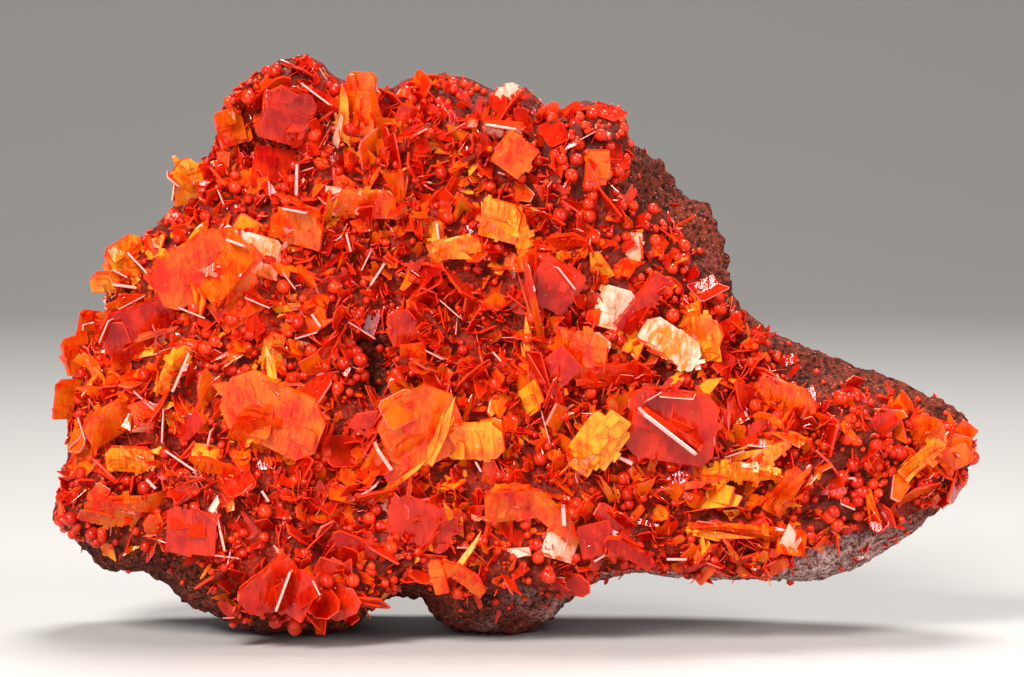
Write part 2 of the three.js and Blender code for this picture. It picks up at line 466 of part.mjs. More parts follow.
function growFans(room) {
  seededRandom(seeds.fans);
  let taken = room;
  const solids = fans.map(({ tablets }) => {
    const main = tablets.map((tablet) => ({ thickness: between(tabletThickness), ...tablet }));
    const all = main[0].out ? [...main, propFor(main[0])] : main;
    const whole = joined(all.map((tablet) => tabletSolid(tablet, 0)));
    const fan = largestBody(whole.subtract(taken));
    taken = taken.add(joined(all.map((tablet) => tabletSolid(tablet, pieceGap))));
    return fan;
  });
  return { solids, room: taken.subtract(room) };
}

// Growths that are one with the coat, kept where they clear the fans

function ballSolid({ at: [x, z], radius }, extra) {
  const lump = new THREE.IcosahedronGeometry(radius + extra, 0).rotateX(x).rotateZ(z);
  return solidFrom(lump.translate(x, surfaceAt(x, z) - ball.proud * radius, z));
}

function ballPlaces() {
  seededRandom(seeds.balls);
  return ballGroups.flatMap(({ at, spread, count }) =>
    Array.from({ length: count }, () => ({
      at: at.map((middle, i) => middle + spread[i] * between([-1, 1])),
      radius: between(ball.radius),
    })),
  );
}

function onCoat([x, z]) {
  const crossings = coatOutline.filter(([x1, z1], i) => {
    const [x2, z2] = coatOutline[(i + 1) % coatOutline.length];
    return z1 > z !== z2 > z && x < lerp(x1, x2, (z - z1) / (z2 - z1));
  });
  return crossings.length % 2 === 1 && shareAt(x, z) < druseRimShare;
}

function drusePlaces() {
  seededRandom(seeds.druse);
  const places = [];
  for (let z = druse.from[1]; z < druse.to[1]; z += druse.pitch) {
    for (let x = druse.from[0]; x < druse.to[0]; x += druse.pitch) {
      const at = [x, z].map((middle) => middle + druse.jitter * between([-1, 1]));
      const size = [between(druse.size), between(druse.size)];
      const turned = { turn: between([-90, 90]), pitch: between(druse.tip), cut: [0, 0] };
      if (onCoat(at)) places.push({ at, size, ...turned });
    }
  }
  return places;
}

function growthsClearOf(fanRoom) {
  const kept = (places, solidOf) =>
    places
      .filter((place) => solidOf(place, pieceGap).intersect(fanRoom).isEmpty())
      .map((place) => solidOf(place, 0));
  return [...kept(ballPlaces(), ballSolid), ...kept([...singleTablets, ...drusePlaces()], tabletSolid)];
}

const rock = solidFrom(slabGeometry(0, () => 0));
const rockRoom = solidFrom(slabGeometry(pieceGap, () => 0));
const grown = growFans(coatSheet(pieceGap).add(rockRoom));
const coat = joined([coatSheet(0), ...growthsClearOf(grown.room)])
  .subtract(rockRoom)
  .subtract(vugPrism(vug));

const specimen = new THREE.Group();
specimen.add(
  meshFrom(rock, "gossan_matrix", finishes.rock),
  meshFrom(largestBody(coat), "mimetite_coat", finishes.mimetite),
  ...fans.map(({ name, finish }, i) =>
    meshFrom(grown.solids[i], `wulfenite_${name}`, finishes[finish]),
  ),
);

// Centre the base on the origin
const bounds = new THREE.Box3().setFromObject(specimen);
const middle = bounds.getCenter(new THREE.Vector3());
specimen.position.set(-middle.x, -middle.y, -bounds.min.z);

export default specimen;
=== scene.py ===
# Wulfenite and mimetite specimen: the crystals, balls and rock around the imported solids
import bmesh
import bpy
import json
import math
import random
from mathutils import Euler, Matrix, Vector, noise
from mathutils.bvhtree import BVHTree


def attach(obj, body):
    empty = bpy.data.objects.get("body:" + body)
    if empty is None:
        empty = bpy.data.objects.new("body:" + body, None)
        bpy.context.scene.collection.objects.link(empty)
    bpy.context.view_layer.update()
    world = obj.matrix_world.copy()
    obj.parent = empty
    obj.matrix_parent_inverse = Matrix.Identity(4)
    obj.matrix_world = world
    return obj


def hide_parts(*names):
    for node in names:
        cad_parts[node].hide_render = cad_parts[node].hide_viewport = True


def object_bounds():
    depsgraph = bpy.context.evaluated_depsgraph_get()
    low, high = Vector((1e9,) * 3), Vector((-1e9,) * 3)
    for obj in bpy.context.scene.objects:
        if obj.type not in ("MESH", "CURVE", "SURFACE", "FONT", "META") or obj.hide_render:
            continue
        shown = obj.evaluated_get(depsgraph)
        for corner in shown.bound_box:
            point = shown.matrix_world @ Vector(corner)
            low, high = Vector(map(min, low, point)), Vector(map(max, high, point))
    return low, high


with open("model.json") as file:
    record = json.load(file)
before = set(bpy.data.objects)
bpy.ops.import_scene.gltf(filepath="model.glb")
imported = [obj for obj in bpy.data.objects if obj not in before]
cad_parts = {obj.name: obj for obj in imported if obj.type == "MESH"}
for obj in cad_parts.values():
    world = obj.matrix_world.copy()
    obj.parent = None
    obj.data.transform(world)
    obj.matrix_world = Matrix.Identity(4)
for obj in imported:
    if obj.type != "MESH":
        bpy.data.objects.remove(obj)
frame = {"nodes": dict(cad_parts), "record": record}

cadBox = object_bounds()
scene = bpy.context.scene
mm = 0.001


# Camera, lights and floor

camera = {"azimuth": 0, "elevation": 4, "lens": 150, "distance": 687 * mm, "aim": (-0.2 * mm, 0, 47.6 * mm)}
lamps = [
    {"name": "keyLamp", "at": (-0.42, -0.62, 0.62), "size": 0.34, "power": 13.5, "tint": (1, 0.97, 0.93)},
    {"name": "rightLamp", "at": (0.66, -0.36, 0.34), "size": 0.26, "power": 4.6, "tint": (1, 0.98, 0.96)},
    {"name": "lowLamp", "at": (-0.12, -0.95, 0.1), "size": 0.4, "power": 3.0, "tint": (1, 0.98, 0.96)},
    {"name": "topLamp", "at": (0.06, 0.22, 0.72), "size": 0.3, "power": 6.0, "tint": (1, 0.98, 0.95)},
]
studio = {"floor": (0.5, 0.49, 0.48), "skyStrength": 0.1, "skyTint": (1, 0.985, 0.97), "roughness": 0.55,
          "reach": 3.2, "wallAt": 1.5, "wallTop": 2.2, "bend": 0.7, "bounces": 6, "seeThrough": 4}


def aimAt(thing, target):
    thing.rotation_euler = (Vector(target) - thing.location).to_track_quat("-Z", "Y").to_euler()


def addCamera():
    cam = bpy.data.objects.new("camera", bpy.data.cameras.new("camera"))
    scene.collection.objects.link(cam)
    azimuth, elevation = math.radians(camera["azimuth"]), math.radians(camera["elevation"])
    back = Vector((math.sin(azimuth) * math.cos(elevation), -math.cos(azimuth) * math.cos(elevation),
                   math.sin(elevation)))
    cam.location = Vector(camera["aim"]) + back * camera["distance"]
    cam.data.lens = camera["lens"]
    cam.data.clip_start = 0.01
    aimAt(cam, camera["aim"])
    scene.camera = cam


def addLamps():
    for lamp in lamps:
        light = bpy.data.lights.new(lamp["name"], "AREA")
        light.size, light.energy, light.color = lamp["size"], lamp["power"], lamp["tint"]
        holder = bpy.data.objects.new(lamp["name"], light)
        scene.collection.objects.link(holder)
        holder.location = lamp["at"]
        aimAt(holder, camera["aim"])


def addStudio():
    material = bpy.data.materials.new("studioPaper")
    material.use_nodes = True
    paper = material.node_tree.nodes["Principled BSDF"]
    paper.inputs["Base Color"].default_value = (*studio["floor"], 1)
    paper.inputs["Roughness"].default_value = studio["roughness"]
    bm = bmesh.new()
    reach, wall, top = studio["reach"], studio["wallAt"], studio["wallTop"]
    corners = [bm.verts.new(place) for place in ((-reach, -reach, 0), (reach, -reach, 0),
                                                 (reach, wall, 0), (-reach, wall, 0))]
    bm.faces.new(corners)
    fold = bm.edges.get((corners[2], corners[3]))
    raised = bmesh.ops.extrude_edge_only(bm, edges=[fold])["geom"]
    bmesh.ops.translate(bm, verts=[v for v in raised if isinstance(v, bmesh.types.BMVert)], vec=(0, 0, top))
    bmesh.ops.bevel(bm, geom=[fold], offset=studio["bend"], segments=16, profile=0.5, affect="EDGES",
                    material=-1)
    mesh = bpy.data.meshes.new("studioFloor")
    bm.to_mesh(mesh)
    bm.free()
    mesh.materials.append(material)
    mesh.shade_smooth()
    floor = bpy.data.objects.new("studioFloor", mesh)
    scene.collection.objects.link(floor)
    world = bpy.data.worlds.new("studioSky")
    world.use_nodes = True
    sky = world.node_tree.nodes["Background"]
    sky.inputs["Color"].default_value = (*studio["skyTint"], 1)
    sky.inputs["Strength"].default_value = studio["skyStrength"]
    scene.world = world
    scene.view_settings.view_transform = "Standard"
    scene.cycles.max_bounces = scene.cycles.transmission_bounces = studio["bounces"]
    scene.cycles.transparent_max_bounces = studio["seeThrough"]
    scene.cycles.caustics_reflective = False


addCamera()
addLamps()
addStudio()
print("stage: camera, lamps and floor are set")


# Shader groups that several finishes share

def newGroup(name, inputs, outputs):
    group = bpy.data.node_groups.new(name, "ShaderNodeTree")
    for title, kind, value in inputs:
        socket = group.interface.new_socket(name=title, in_out="INPUT", socket_type=kind)
        if value is not None:
            socket.default_value = value
    for title, kind in outputs:
        group.interface.new_socket(name=title, in_out="OUTPUT", socket_type=kind)
    return group, group.nodes.new("NodeGroupInput"), group.nodes.new("NodeGroupOutput")


def addNode(tree, kind, values=(), **settings):
    node = tree.nodes.new(kind)
    for key, value in settings.items():
        setattr(node, key, value)
    for key, value in dict(values).items():
        node.inputs[key].default_value = value
    return node


def mixColours(tree, factor, first, second):
    mix = addNode(tree, "ShaderNodeMix", data_type="RGBA")
    for socket, source in (("Factor_Float", factor), ("A_Color", first), ("B_Color", second)):
        target = next(i for i in mix.inputs if i.identifier == socket)
        if hasattr(source, "is_output"):
            tree.links.new(source, target)
        else:
            target.default_value = source
    return next(o for o in mix.outputs if o.identifier == "Result_Color")


def makeGrainGroup():
    # Two sizes of noise as one mask, for colour that changes from grain to grain
    group, given, out = newGroup("mineralGrain", [
        ("Vector", "NodeSocketVector", None), ("Scale", "NodeSocketFloat", 300.0),
        ("Contrast", "NodeSocketFloat", 2.0)], [("Mask", "NodeSocketFloat"), ("Height", "NodeSocketFloat")])
    links = group.links
    broad = addNode(group, "ShaderNodeTexNoise", {"Detail": 6.0, "Roughness": 0.65})
    cells = addNode(group, "ShaderNodeTexVoronoi", feature="F1")
    cellScale = addNode(group, "ShaderNodeMath", {1: 3.1}, operation="MULTIPLY")
    links.new(given.outputs["Vector"], broad.inputs["Vector"])
    links.new(given.outputs["Scale"], broad.inputs["Scale"])
    links.new(given.outputs["Scale"], cellScale.inputs[0])
    links.new(given.outputs["Vector"], cells.inputs["Vector"])
    links.new(cellScale.outputs[0], cells.inputs["Scale"])
    centred = addNode(group, "ShaderNodeMath", {1: 0.5}, operation="SUBTRACT")
    spread = addNode(group, "ShaderNodeMath", {2: 0.5}, operation="MULTIPLY_ADD", use_clamp=True)
    links.new(broad.outputs["Fac"], centred.inputs[0])
    links.new(centred.outputs[0], spread.inputs[0])
    links.new(given.outputs["Contrast"], spread.inputs[1])
    height = addNode(group, "ShaderNodeMath", operation="SUBTRACT")
    links.new(broad.outputs["Fac"], height.inputs[0])
    links.new(cells.outputs["Distance"], height.inputs[1])
    links.new(spread.outputs[0], out.inputs["Mask"])
    links.new(height.outputs[0], out.inputs["Height"])
    return group


def makeGrowthGroup():
    # Growth lines, veils, painted highlights (glints as pale specks in the colour) and the slow change from
    # deep to bright inside a crystal plate
    group, given, out = newGroup("growthLines", [
        ("Vector", "NodeSocketVector", None), ("Tint", "NodeSocketFloat", 0.5)],
        [("Lines", "NodeSocketFloat"), ("Veils", "NodeSocketFloat"), ("PaintedGlints", "NodeSocketFloat"),
         ("Shade", "NodeSocketFloat")])
    links = group.links
    stretched = addNode(group, "ShaderNodeMapping", {"Scale": (1.0, 0.5, 0.22), "Rotation": (0.3, 0.7, 0.2)})
    links.new(given.outputs["Vector"], stretched.inputs["Vector"])
    lines = addNode(group, "ShaderNodeTexNoise", {"Scale": 1500.0, "Detail": 2.0, "Roughness": 0.5})
    veils = addNode(group, "ShaderNodeTexNoise", {"Scale": 520.0, "Detail": 4.0, "Roughness": 0.62})
    paintedGlints = addNode(group, "ShaderNodeTexNoise", {"Scale": 1300.0, "Detail": 1.0})
    zones = addNode(group, "ShaderNodeTexNoise", {"Scale": 190.0, "Detail": 2.0, "Roughness": 0.5})
    links.new(stretched.outputs["Vector"], lines.inputs["Vector"])
    for pattern in (veils, paintedGlints, zones):
        links.new(given.outputs["Vector"], pattern.inputs["Vector"])
    veilMask = addNode(group, "ShaderNodeMapRange", {"From Min": 0.52, "From Max": 0.62})
    # Painted highlight: the peaks of a fine noise mark small specks for the pale glint colour
    paintedGlintMask = addNode(group, "ShaderNodeMapRange", {"From Min": 0.71, "From Max": 0.78, "To Max": 0.45})
    links.new(veils.outputs["Fac"], veilMask.inputs["Value"])
    links.new(paintedGlints.outputs["Fac"], paintedGlintMask.inputs["Value"])
    fromZones = addNode(group, "ShaderNodeMath", {1: 3.5, 2: -2.55}, operation="MULTIPLY_ADD")
    fromLines = addNode(group, "ShaderNodeMath", {1: 1.8}, operation="MULTIPLY_ADD")
    fromTint = addNode(group, "ShaderNodeMath", {1: 0.7}, operation="MULTIPLY_ADD", use_clamp=True)
    links.new(zones.outputs["Fac"], fromZones.inputs[0])
    links.new(lines.outputs["Fac"], fromLines.inputs[0])
    links.new(fromZones.outputs[0], fromLines.inputs[2])
    links.new(given.outputs["Tint"], fromTint.inputs[0])
    links.new(fromLines.outputs[0], fromTint.inputs[2])
    for pattern, title in ((lines.outputs["Fac"], "Lines"), (veilMask.outputs["Result"], "Veils"),
                           (paintedGlintMask.outputs["Result"], "PaintedGlints"), (fromTint.outputs[0], "Shade")):
        links.new(pattern, out.inputs[title])
    return group


grainGroup = makeGrainGroup()
growthGroup = makeGrowthGroup()


# Finishes

def newFinish(name):
    material = bpy.data.materials.new(name)
    material.use_nodes = True
    return material, material.node_tree, material.node_tree.nodes["Principled BSDF"]


# The glint colours are painted highlights, mixed into the plates as pale specks
crystalLooks = {
    "wulfenite_red": {"deep": (0.62, 0.005, 0.003), "bright": (1.0, 0.042, 0.005), "paintedGlint": (1, 0.3, 0.12),
                      "clear": 0.55, "shine": 0.1},
    "wulfenite_orange": {"deep": (0.95, 0.024, 0.003), "bright": (1.0, 0.18, 0.006),
                         "paintedGlint": (1, 0.6, 0.25), "clear": 0.42, "shine": 0.16},
    "wulfenite_amber": {"deep": (1.0, 0.11, 0.004), "bright": (1.0, 0.42, 0.025),
                        "paintedGlint": (1, 0.85, 0.5), "clear": 0.24, "shine": 0.25},
    "wulfenite_pale": {"deep": (1.0, 0.2, 0.03), "bright": (0.95, 0.62, 0.48), "paintedGlint": (1, 0.85, 0.75),
                       "clear": 0.1, "shine": 0.35},
}


def crystalFinish(slot):
    look = crystalLooks[slot]
    material, tree, shader = newFinish(slot)
    where = addNode(tree, "ShaderNodeTexCoord")
    tint = addNode(tree, "ShaderNodeAttribute", attribute_name="tint")
    growth = addNode(tree, "ShaderNodeGroup", node_tree=growthGroup)
    tree.links.new(where.outputs["Object"], growth.inputs["Vector"])
    tree.links.new(tint.outputs["Fac"], growth.inputs["Tint"])
    body = mixColours(tree, growth.outputs["Shade"], (*look["deep"], 1), (*look["bright"], 1))
    veiled = addNode(tree, "ShaderNodeMath", {1: 0.45}, operation="MULTIPLY")
    tree.links.new(growth.outputs["Veils"], veiled.inputs[0])
    clouded = mixColours(tree, veiled.outputs[0], body, (*look["bright"], 1))
    # Painted highlight: the pale glint colour mixed into the plate colour in small specks
    colour = mixColours(tree, growth.outputs["PaintedGlints"], clouded, (*look["paintedGlint"], 1))
    tree.links.new(colour, shader.inputs["Base Color"])
    bump = addNode(tree, "ShaderNodeBump", {"Strength": 0.5, "Distance": 0.25 * mm})
    tree.links.new(growth.outputs["Lines"], bump.inputs["Height"])
    tree.links.new(bump.outputs["Normal"], shader.inputs["Normal"])
    gloss = addNode(tree, "ShaderNodeMapRange", {"To Min": 0.03, "To Max": 0.12})
    tree.links.new(growth.outputs["Veils"], gloss.inputs["Value"])
    tree.links.new(gloss.outputs["Result"], shader.inputs["Roughness"])
    shader.inputs["Transmission Weight"].default_value = look["clear"]
    shader.inputs["IOR"].default_value = 1.5
    shader.inputs["Specular IOR Level"].default_value = look["shine"]
    return material


def edgeFinish():
    # The bright rims of the plates, where light that travels inside them comes out
    material, tree, shader = newFinish("crystalEdge")
    tint = addNode(tree, "ShaderNodeAttribute", attribute_name="tint")
    paleness = addNode(tree, "ShaderNodeMath", {1: 26.0}, operation="POWER")
    tree.links.new(tint.outputs["Fac"], paleness.inputs[0])
    colour = mixColours(tree, paleness.outputs[0], (0.9, 0.035, 0.004, 1), (0.75, 0.35, 0.3, 1))
    tree.links.new(colour, shader.inputs["Base Color"])
    shader.inputs["Roughness"].default_value = 0.12
    shader.inputs["Specular IOR Level"].default_value = 0.4
    return material


def ballFinish():
    material, tree, shader = newFinish("mimeticBalls")
    where = addNode(tree, "ShaderNodeTexCoord")
    grain = addNode(tree, "ShaderNodeGroup", node_tree=grainGroup)
    grain.inputs["Scale"].default_value = 900.0
    tree.links.new(where.outputs["Object"], grain.inputs["Vector"])
    tint = addNode(tree, "ShaderNodeAttribute", attribute_name="tint")
    body = mixColours(tree, tint.outputs["Fac"], (0.3, 0.006, 0.002, 1), (0.9, 0.06, 0.006, 1))
    colour = mixColours(tree, grain.outputs["Mask"], body, (0.6, 0.016, 0.003, 1))
    tree.links.new(colour, shader.inputs["Base Color"])
    bump = addNode(tree, "ShaderNodeBump", {"Strength": 0.25, "Distance": 0.15 * mm})
    tree.links.new(grain.outputs["Height"], bump.inputs["Height"])
    tree.links.new(bump.outputs["Normal"], shader.inputs["Normal"])
    shader.inputs["Roughness"].default_value = 0.24
    shader.inputs["Subsurface Weight"].default_value = 0.25
    shader.inputs["Subsurface Radius"].default_value = (1.0, 0.16, 0.05)
    shader.inputs["Subsurface Scale"].default_value = 1.2 * mm
    shader.inputs["Specular IOR Level"].default_value = 0.25
    shader.inputs["Coat Weight"].default_value = 0.1
    shader.inputs["Coat Roughness"].default_value = 0.12
    return material


# The ash colour is the underside's pale grey-pink, made paler still as painted light from the floor below
rockColours = {
    "dark": (0.014, 0.003, 0.002), "brown": (0.19, 0.027, 0.014), "rust": (0.46, 0.07, 0.03),
    "ashAndFloorLight": (0.9, 0.6, 0.56), "speck": (0.8, 0.45, 0.35),
}


def crustFinish():
    material, tree, shader = newFinish("mimeticCrust")
    where = addNode(tree, "ShaderNodeTexCoord")
    grain = addNode(tree, "ShaderNodeGroup", node_tree=grainGroup)
    grain.inputs["Scale"].default_value = 420.0
    tree.links.new(where.outputs["Object"], grain.inputs["Vector"])
    bare = addNode(tree, "ShaderNodeAttribute", attribute_name="tint")
    red = mixColours(tree, grain.outputs["Mask"], (0.03, 0.003, 0.001, 1), (0.36, 0.016, 0.003, 1))
    brown = mixColours(tree, grain.outputs["Mask"], (*rockColours["dark"], 1), (*rockColours["brown"], 1))
    colour = mixColours(tree, bare.outputs["Fac"], red, brown)
    tree.links.new(colour, shader.inputs["Base Color"])
    bump = addNode(tree, "ShaderNodeBump", {"Strength": 0.7, "Distance": 0.5 * mm})
    tree.links.new(grain.outputs["Height"], bump.inputs["Height"])
    tree.links.new(bump.outputs["Normal"], shader.inputs["Normal"])
    shader.inputs["Roughness"].default_value = 0.5
    shader.inputs["Specular IOR Level"].default_value = 0.12
    return material


def rockFinish():
    material, tree, shader = newFinish("gossan")
    where = addNode(tree, "ShaderNodeTexCoord")
    broad = addNode(tree, "ShaderNodeGroup", node_tree=grainGroup)
    broad.inputs["Scale"].default_value = 140.0
    fine = addNode(tree, "ShaderNodeGroup", node_tree=grainGroup)
    fine.inputs["Scale"].default_value = 1150.0
    fine.inputs["Contrast"].default_value = 4.5
    for grain in (broad, fine):
        tree.links.new(where.outputs["Object"], grain.inputs["Vector"])
    tint = addNode(tree, "ShaderNodeAttribute", attribute_name="tint")
    brown = mixColours(tree, broad.outputs["Mask"], (*rockColours["brown"], 1), (*rockColours["rust"], 1))
    pitted = mixColours(tree, fine.outputs["Mask"], (*rockColours["dark"], 1), brown)
    # Pale underside: the rock's own grey-pink with painted light from the floor
    ashenAndFloorLit = mixColours(tree, fine.outputs["Mask"], (*rockColours["brown"], 1), (*rockColours["ashAndFloorLight"], 1))
    mixed = mixColours(tree, tint.outputs["Fac"], pitted, ashenAndFloorLit)
    specks = addNode(tree, "ShaderNodeTexVoronoi", {"Scale": 1300.0}, feature="F1")
    tree.links.new(where.outputs["Object"], specks.inputs["Vector"])
    speckMask = addNode(tree, "ShaderNodeMapRange", {"From Min": 0.16, "From Max": 0.1, "To Max": 0.7})
    tree.links.new(specks.outputs["Distance"], speckMask.inputs["Value"])
    colour = mixColours(tree, speckMask.outputs["Result"], mixed, (*rockColours["speck"], 1))
    tree.links.new(colour, shader.inputs["Base Color"])
    bump = addNode(tree, "ShaderNodeBump", {"Strength": 1.0, "Distance": 0.5 * mm})
    tree.links.new(fine.outputs["Height"], bump.inputs["Height"])
    tree.links.new(bump.outputs["Normal"], shader.inputs["Normal"])
    gloss = addNode(tree, "ShaderNodeMapRange", {"To Min": 0.8, "To Max": 0.35})
    tree.links.new(speckMask.outputs["Result"], gloss.inputs["Value"])
    tree.links.new(gloss.outputs["Result"], shader.inputs["Roughness"])
    shader.inputs["Specular IOR Level"].default_value = 0.2
    return material


crystalFinishes = {slot: crystalFinish(slot) for slot in crystalLooks}
edge = edgeFinish()
balls = ballFinish()
crust = crustFinish()
gossan = rockFinish()
print("stage: finishes are made")


# Helpers for pieces

def newPiece(name, mesh, materials, slot, replaced=()):
    for material in materials:
        mesh.materials.append(material)
    piece = bpy.data.objects.new(name, mesh)
    scene.collection.objects.link(piece)
    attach(piece, "root")
    if replaced:
        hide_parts(*replaced)


def meshOf(bm, name):
    mesh = bpy.data.meshes.new(name)
    bm.to_mesh(mesh)
    bm.free()
    return mesh


def mergedNode(name):
    bm = bmesh.new()
    bm.from_mesh(frame["nodes"][name].data)
    bmesh.ops.remove_doubles(bm, verts=bm.verts, dist=0.002 * mm)
    return bm


def treeOf(name):
    bm = mergedNode(name)
    tree = BVHTree.FromBMesh(bm)
    bm.free()
    return tree


rockTree = treeOf("gossan_matrix")
coatTree = treeOf("mimetite_coat")


def treeOfAll(names):
    bm = bmesh.new()
    for name in names:
        bm.from_mesh(frame["nodes"][name].data)
    tree = BVHTree.FromBMesh(bm)
    bm.free()
    return tree


fanTree = treeOfAll(sorted(frame["nodes"]))


# Where bare brown rock and balls show between the blades in the front view, in mm

bareSpots = [
    {"name": "upper right lobe", "at": (12, 78), "reach": (13, 12), "share": 0.85},
    {"name": "right edge of the lobe", "at": (22, 63), "reach": (8, 11), "share": 0.75},
    {"name": "upper left knob", "at": (-37, 91), "reach": (7, 4), "share": 0.8},
    {"name": "top edge", "at": (-5, 87), "reach": (9, 4), "share": 0.85},
    {"name": "gap under the knob", "at": (-37, 79), "reach": (9, 2), "share": 0.8},
    {"name": "left shoulder", "at": (-57, 66), "reach": (5, 3), "share": 0.7},
    {"name": "vug", "at": (-23, 44), "reach": (5, 6), "share": 1.0},
    {"name": "hollow on the left", "at": (-43, 43), "reach": (3, 3), "share": 0.7},
    {"name": "tail pocket", "at": (52, 20), "reach": (6, 4), "share": 1.0},
    {"name": "tail", "at": (59, 29), "reach": (14, 10), "share": 0.72},
    {"name": "tail tip", "at": (72, 27), "reach": (5, 9), "share": 0.85},
    {"name": "middle right", "at": (27, 42), "reach": (9, 5), "share": 0.5},
    {"name": "tail ridge", "at": (46, 45), "reach": (10, 5), "share": 0.8},
    {"name": "lower left corner", "at": (-67, 16), "reach": (9, 8), "share": 0.85},
    {"name": "low gap", "at": (-22, 14), "reach": (5, 6), "share": 0.7},
    {"name": "foot", "at": (-2, 9), "reach": (14, 4), "share": 0.7},
]


def nearSpot(place, spot):
    # 1 in the middle of a spot of the front view, falling to 0 beyond its reach
    x, z = place.x / mm, place.z / mm
    return math.exp(-((x - spot["at"][0]) / spot["reach"][0]) ** 2
                    - ((z - spot["at"][1]) / spot["reach"][1]) ** 2)


def bareShare(place):
    return max(spot["share"] * nearSpot(place, spot) for spot in bareSpots)


# The rock and the crust: the solids, refined and roughened

def roughened(name, kind, levels, lumps):
    mesh = meshOf(mergedNode(name), name + "Fine")
    body = bpy.data.objects.new(name + "Fine", mesh)
    scene.collection.objects.link(body)
    refine = body.modifiers.new("refine", "SUBSURF")
    refine.subdivision_type = kind
    refine.levels = refine.render_levels = levels
    for index, (pattern, size, height) in enumerate(lumps):
        texture = bpy.data.textures.new(f"{name}Lumps{index}", pattern)
        texture.noise_scale = size
        push = body.modifiers.new(f"push{index}", "DISPLACE")
        push.texture, push.strength, push.texture_coords = texture, height, "LOCAL"
    evaluated = body.evaluated_get(bpy.context.evaluated_depsgraph_get())
    fine = bpy.data.meshes.new_from_object(evaluated)
    bpy.data.objects.remove(body)
    for vertex in fine.vertices:
        vertex.co.z = max(vertex.co.z, 0)
    fine.shade_smooth()
    return fine


rockShape = {"levels": 3, "lumps": [("CLOUDS", 6 * mm, 1.8 * mm), ("CLOUDS", 2.4 * mm, 1.6 * mm),
                                    ("VORONOI", 1.5 * mm, -0.8 * mm), ("CLOUDS", 0.9 * mm, 0.6 * mm)]}
# The pale zone on the underside at the lower right: partly the rock's own grey-pink colour, partly painted
# light, brightened where light from the floor falls on it
ashAndFloorLightZone = {"middle": Vector((45, -6, 5)) * mm, "reach": Vector((38, 28, 14)) * mm, "full": 1.8,
           "falloff": 1.4, "mottling": 0.5, "patch": 5 * mm}


def ashAndFloorLightAt(place):
    away = place - ashAndFloorLightZone["middle"]
    distance = math.hypot(*(away[i] / ashAndFloorLightZone["reach"][i] for i in range(3)))
    mottling = ashAndFloorLightZone["mottling"] * noise.noise(place / ashAndFloorLightZone["patch"])
    return max(0.0, min(1.0, ashAndFloorLightZone["full"] - ashAndFloorLightZone["falloff"] * distance + mottling))


def makeRock():
    mesh = roughened("gossan_matrix", "CATMULL_CLARK", rockShape["levels"], rockShape["lumps"])
    tint = mesh.attributes.new("tint", "FLOAT", "POINT")
    # The tint marks the pale underside: its own grey-pink and painted floor light
    tint.data.foreach_set("value", [ashAndFloorLightAt(vertex.co) for vertex in mesh.vertices])
    newPiece("gossan_slab", mesh, [gossan], "rock", ["gossan_matrix"])
    return BVHTree.FromPolygons([vertex.co for vertex in mesh.vertices],
                                [face.vertices for face in mesh.polygons])


crustShape = {"levels": 2, "lumps": [("CLOUDS", 1.6 * mm, 0.7 * mm), ("VORONOI", 1.1 * mm, 0.5 * mm)],
              "bareness": 1.3}


def makeCrust():
    mesh = roughened("mimetite_coat", "SIMPLE", crustShape["levels"], crustShape["lumps"])
    tint = mesh.attributes.new("tint", "FLOAT", "POINT")
    bareness = [min(1.0, crustShape["bareness"] * bareShare(vertex.co)) for vertex in mesh.vertices]
    tint.data.foreach_set("value", bareness)
    newPiece("mimetite_crust", mesh, [crust], "mimetite", ["mimetite_coat"])


ground = makeRock()
makeCrust()
print("stage: rock and crust are roughened")


# Points on the outside of the coat or the rock, spread evenly by area

def outsidePoints(name, other, gap, count, seed):
    pick = random.Random(seed)
    bm = mergedNode(name)
    bmesh.ops.triangulate(bm, faces=bm.faces)
    faces = list(bm.faces)
    areas = [face.calc_area() for face in faces]
    found = []
    while len(found) < count:
        face = pick.choices(faces, areas)[0]
        a, b, c = (vertex.co for vertex in face.verts)
        u, v = pick.random(), pick.random()
        if u + v > 1:
            u, v = 1 - u, 1 - v
        place = a + (b - a) * u + (c - a) * v
        if other.find_nearest(place)[3] > gap:
            found.append((place.copy(), face.normal.copy()))
    bm.free()
    return found


def tiltedFrom(normal, tilt, pick):
    side = normal.orthogonal().normalized()
    side.rotate(Matrix.Rotation(pick.uniform(0, 2 * math.pi), 3, normal))
    axis = normal * math.cos(tilt) + side * math.sin(tilt)
    return axis.normalized()


# Tablet shapes: eight-sided plates with slanted rims, one millimetre each way before scaling

tabletShapes = [
    {"corner": 0.13, "taper": 1.0, "shear": 0.0, "chip": 0.0},
    {"corner": 0.24, "taper": 0.9, "shear": 0.05, "chip": 0.12},
    {"corner": 0.04, "taper": 0.95, "shear": 0.0, "chip": 0.0},
    {"corner": 0.06, "taper": 0.6, "shear": 0.2, "chip": 0.25},
    {"corner": 0.03, "taper": 0.35, "shear": -0.3, "chip": 0.1},
    {"corner": 0.08, "taper": 0.85, "shear": 0.3, "chip": 0.4},
    {"corner": 0.05, "taper": 0.7, "shear": -0.12, "chip": 0.5},
]
rimSlant = {"inwards": 0.022, "core": 0.5}
frontLimit = cadBox[0][1] - 0.9 * mm


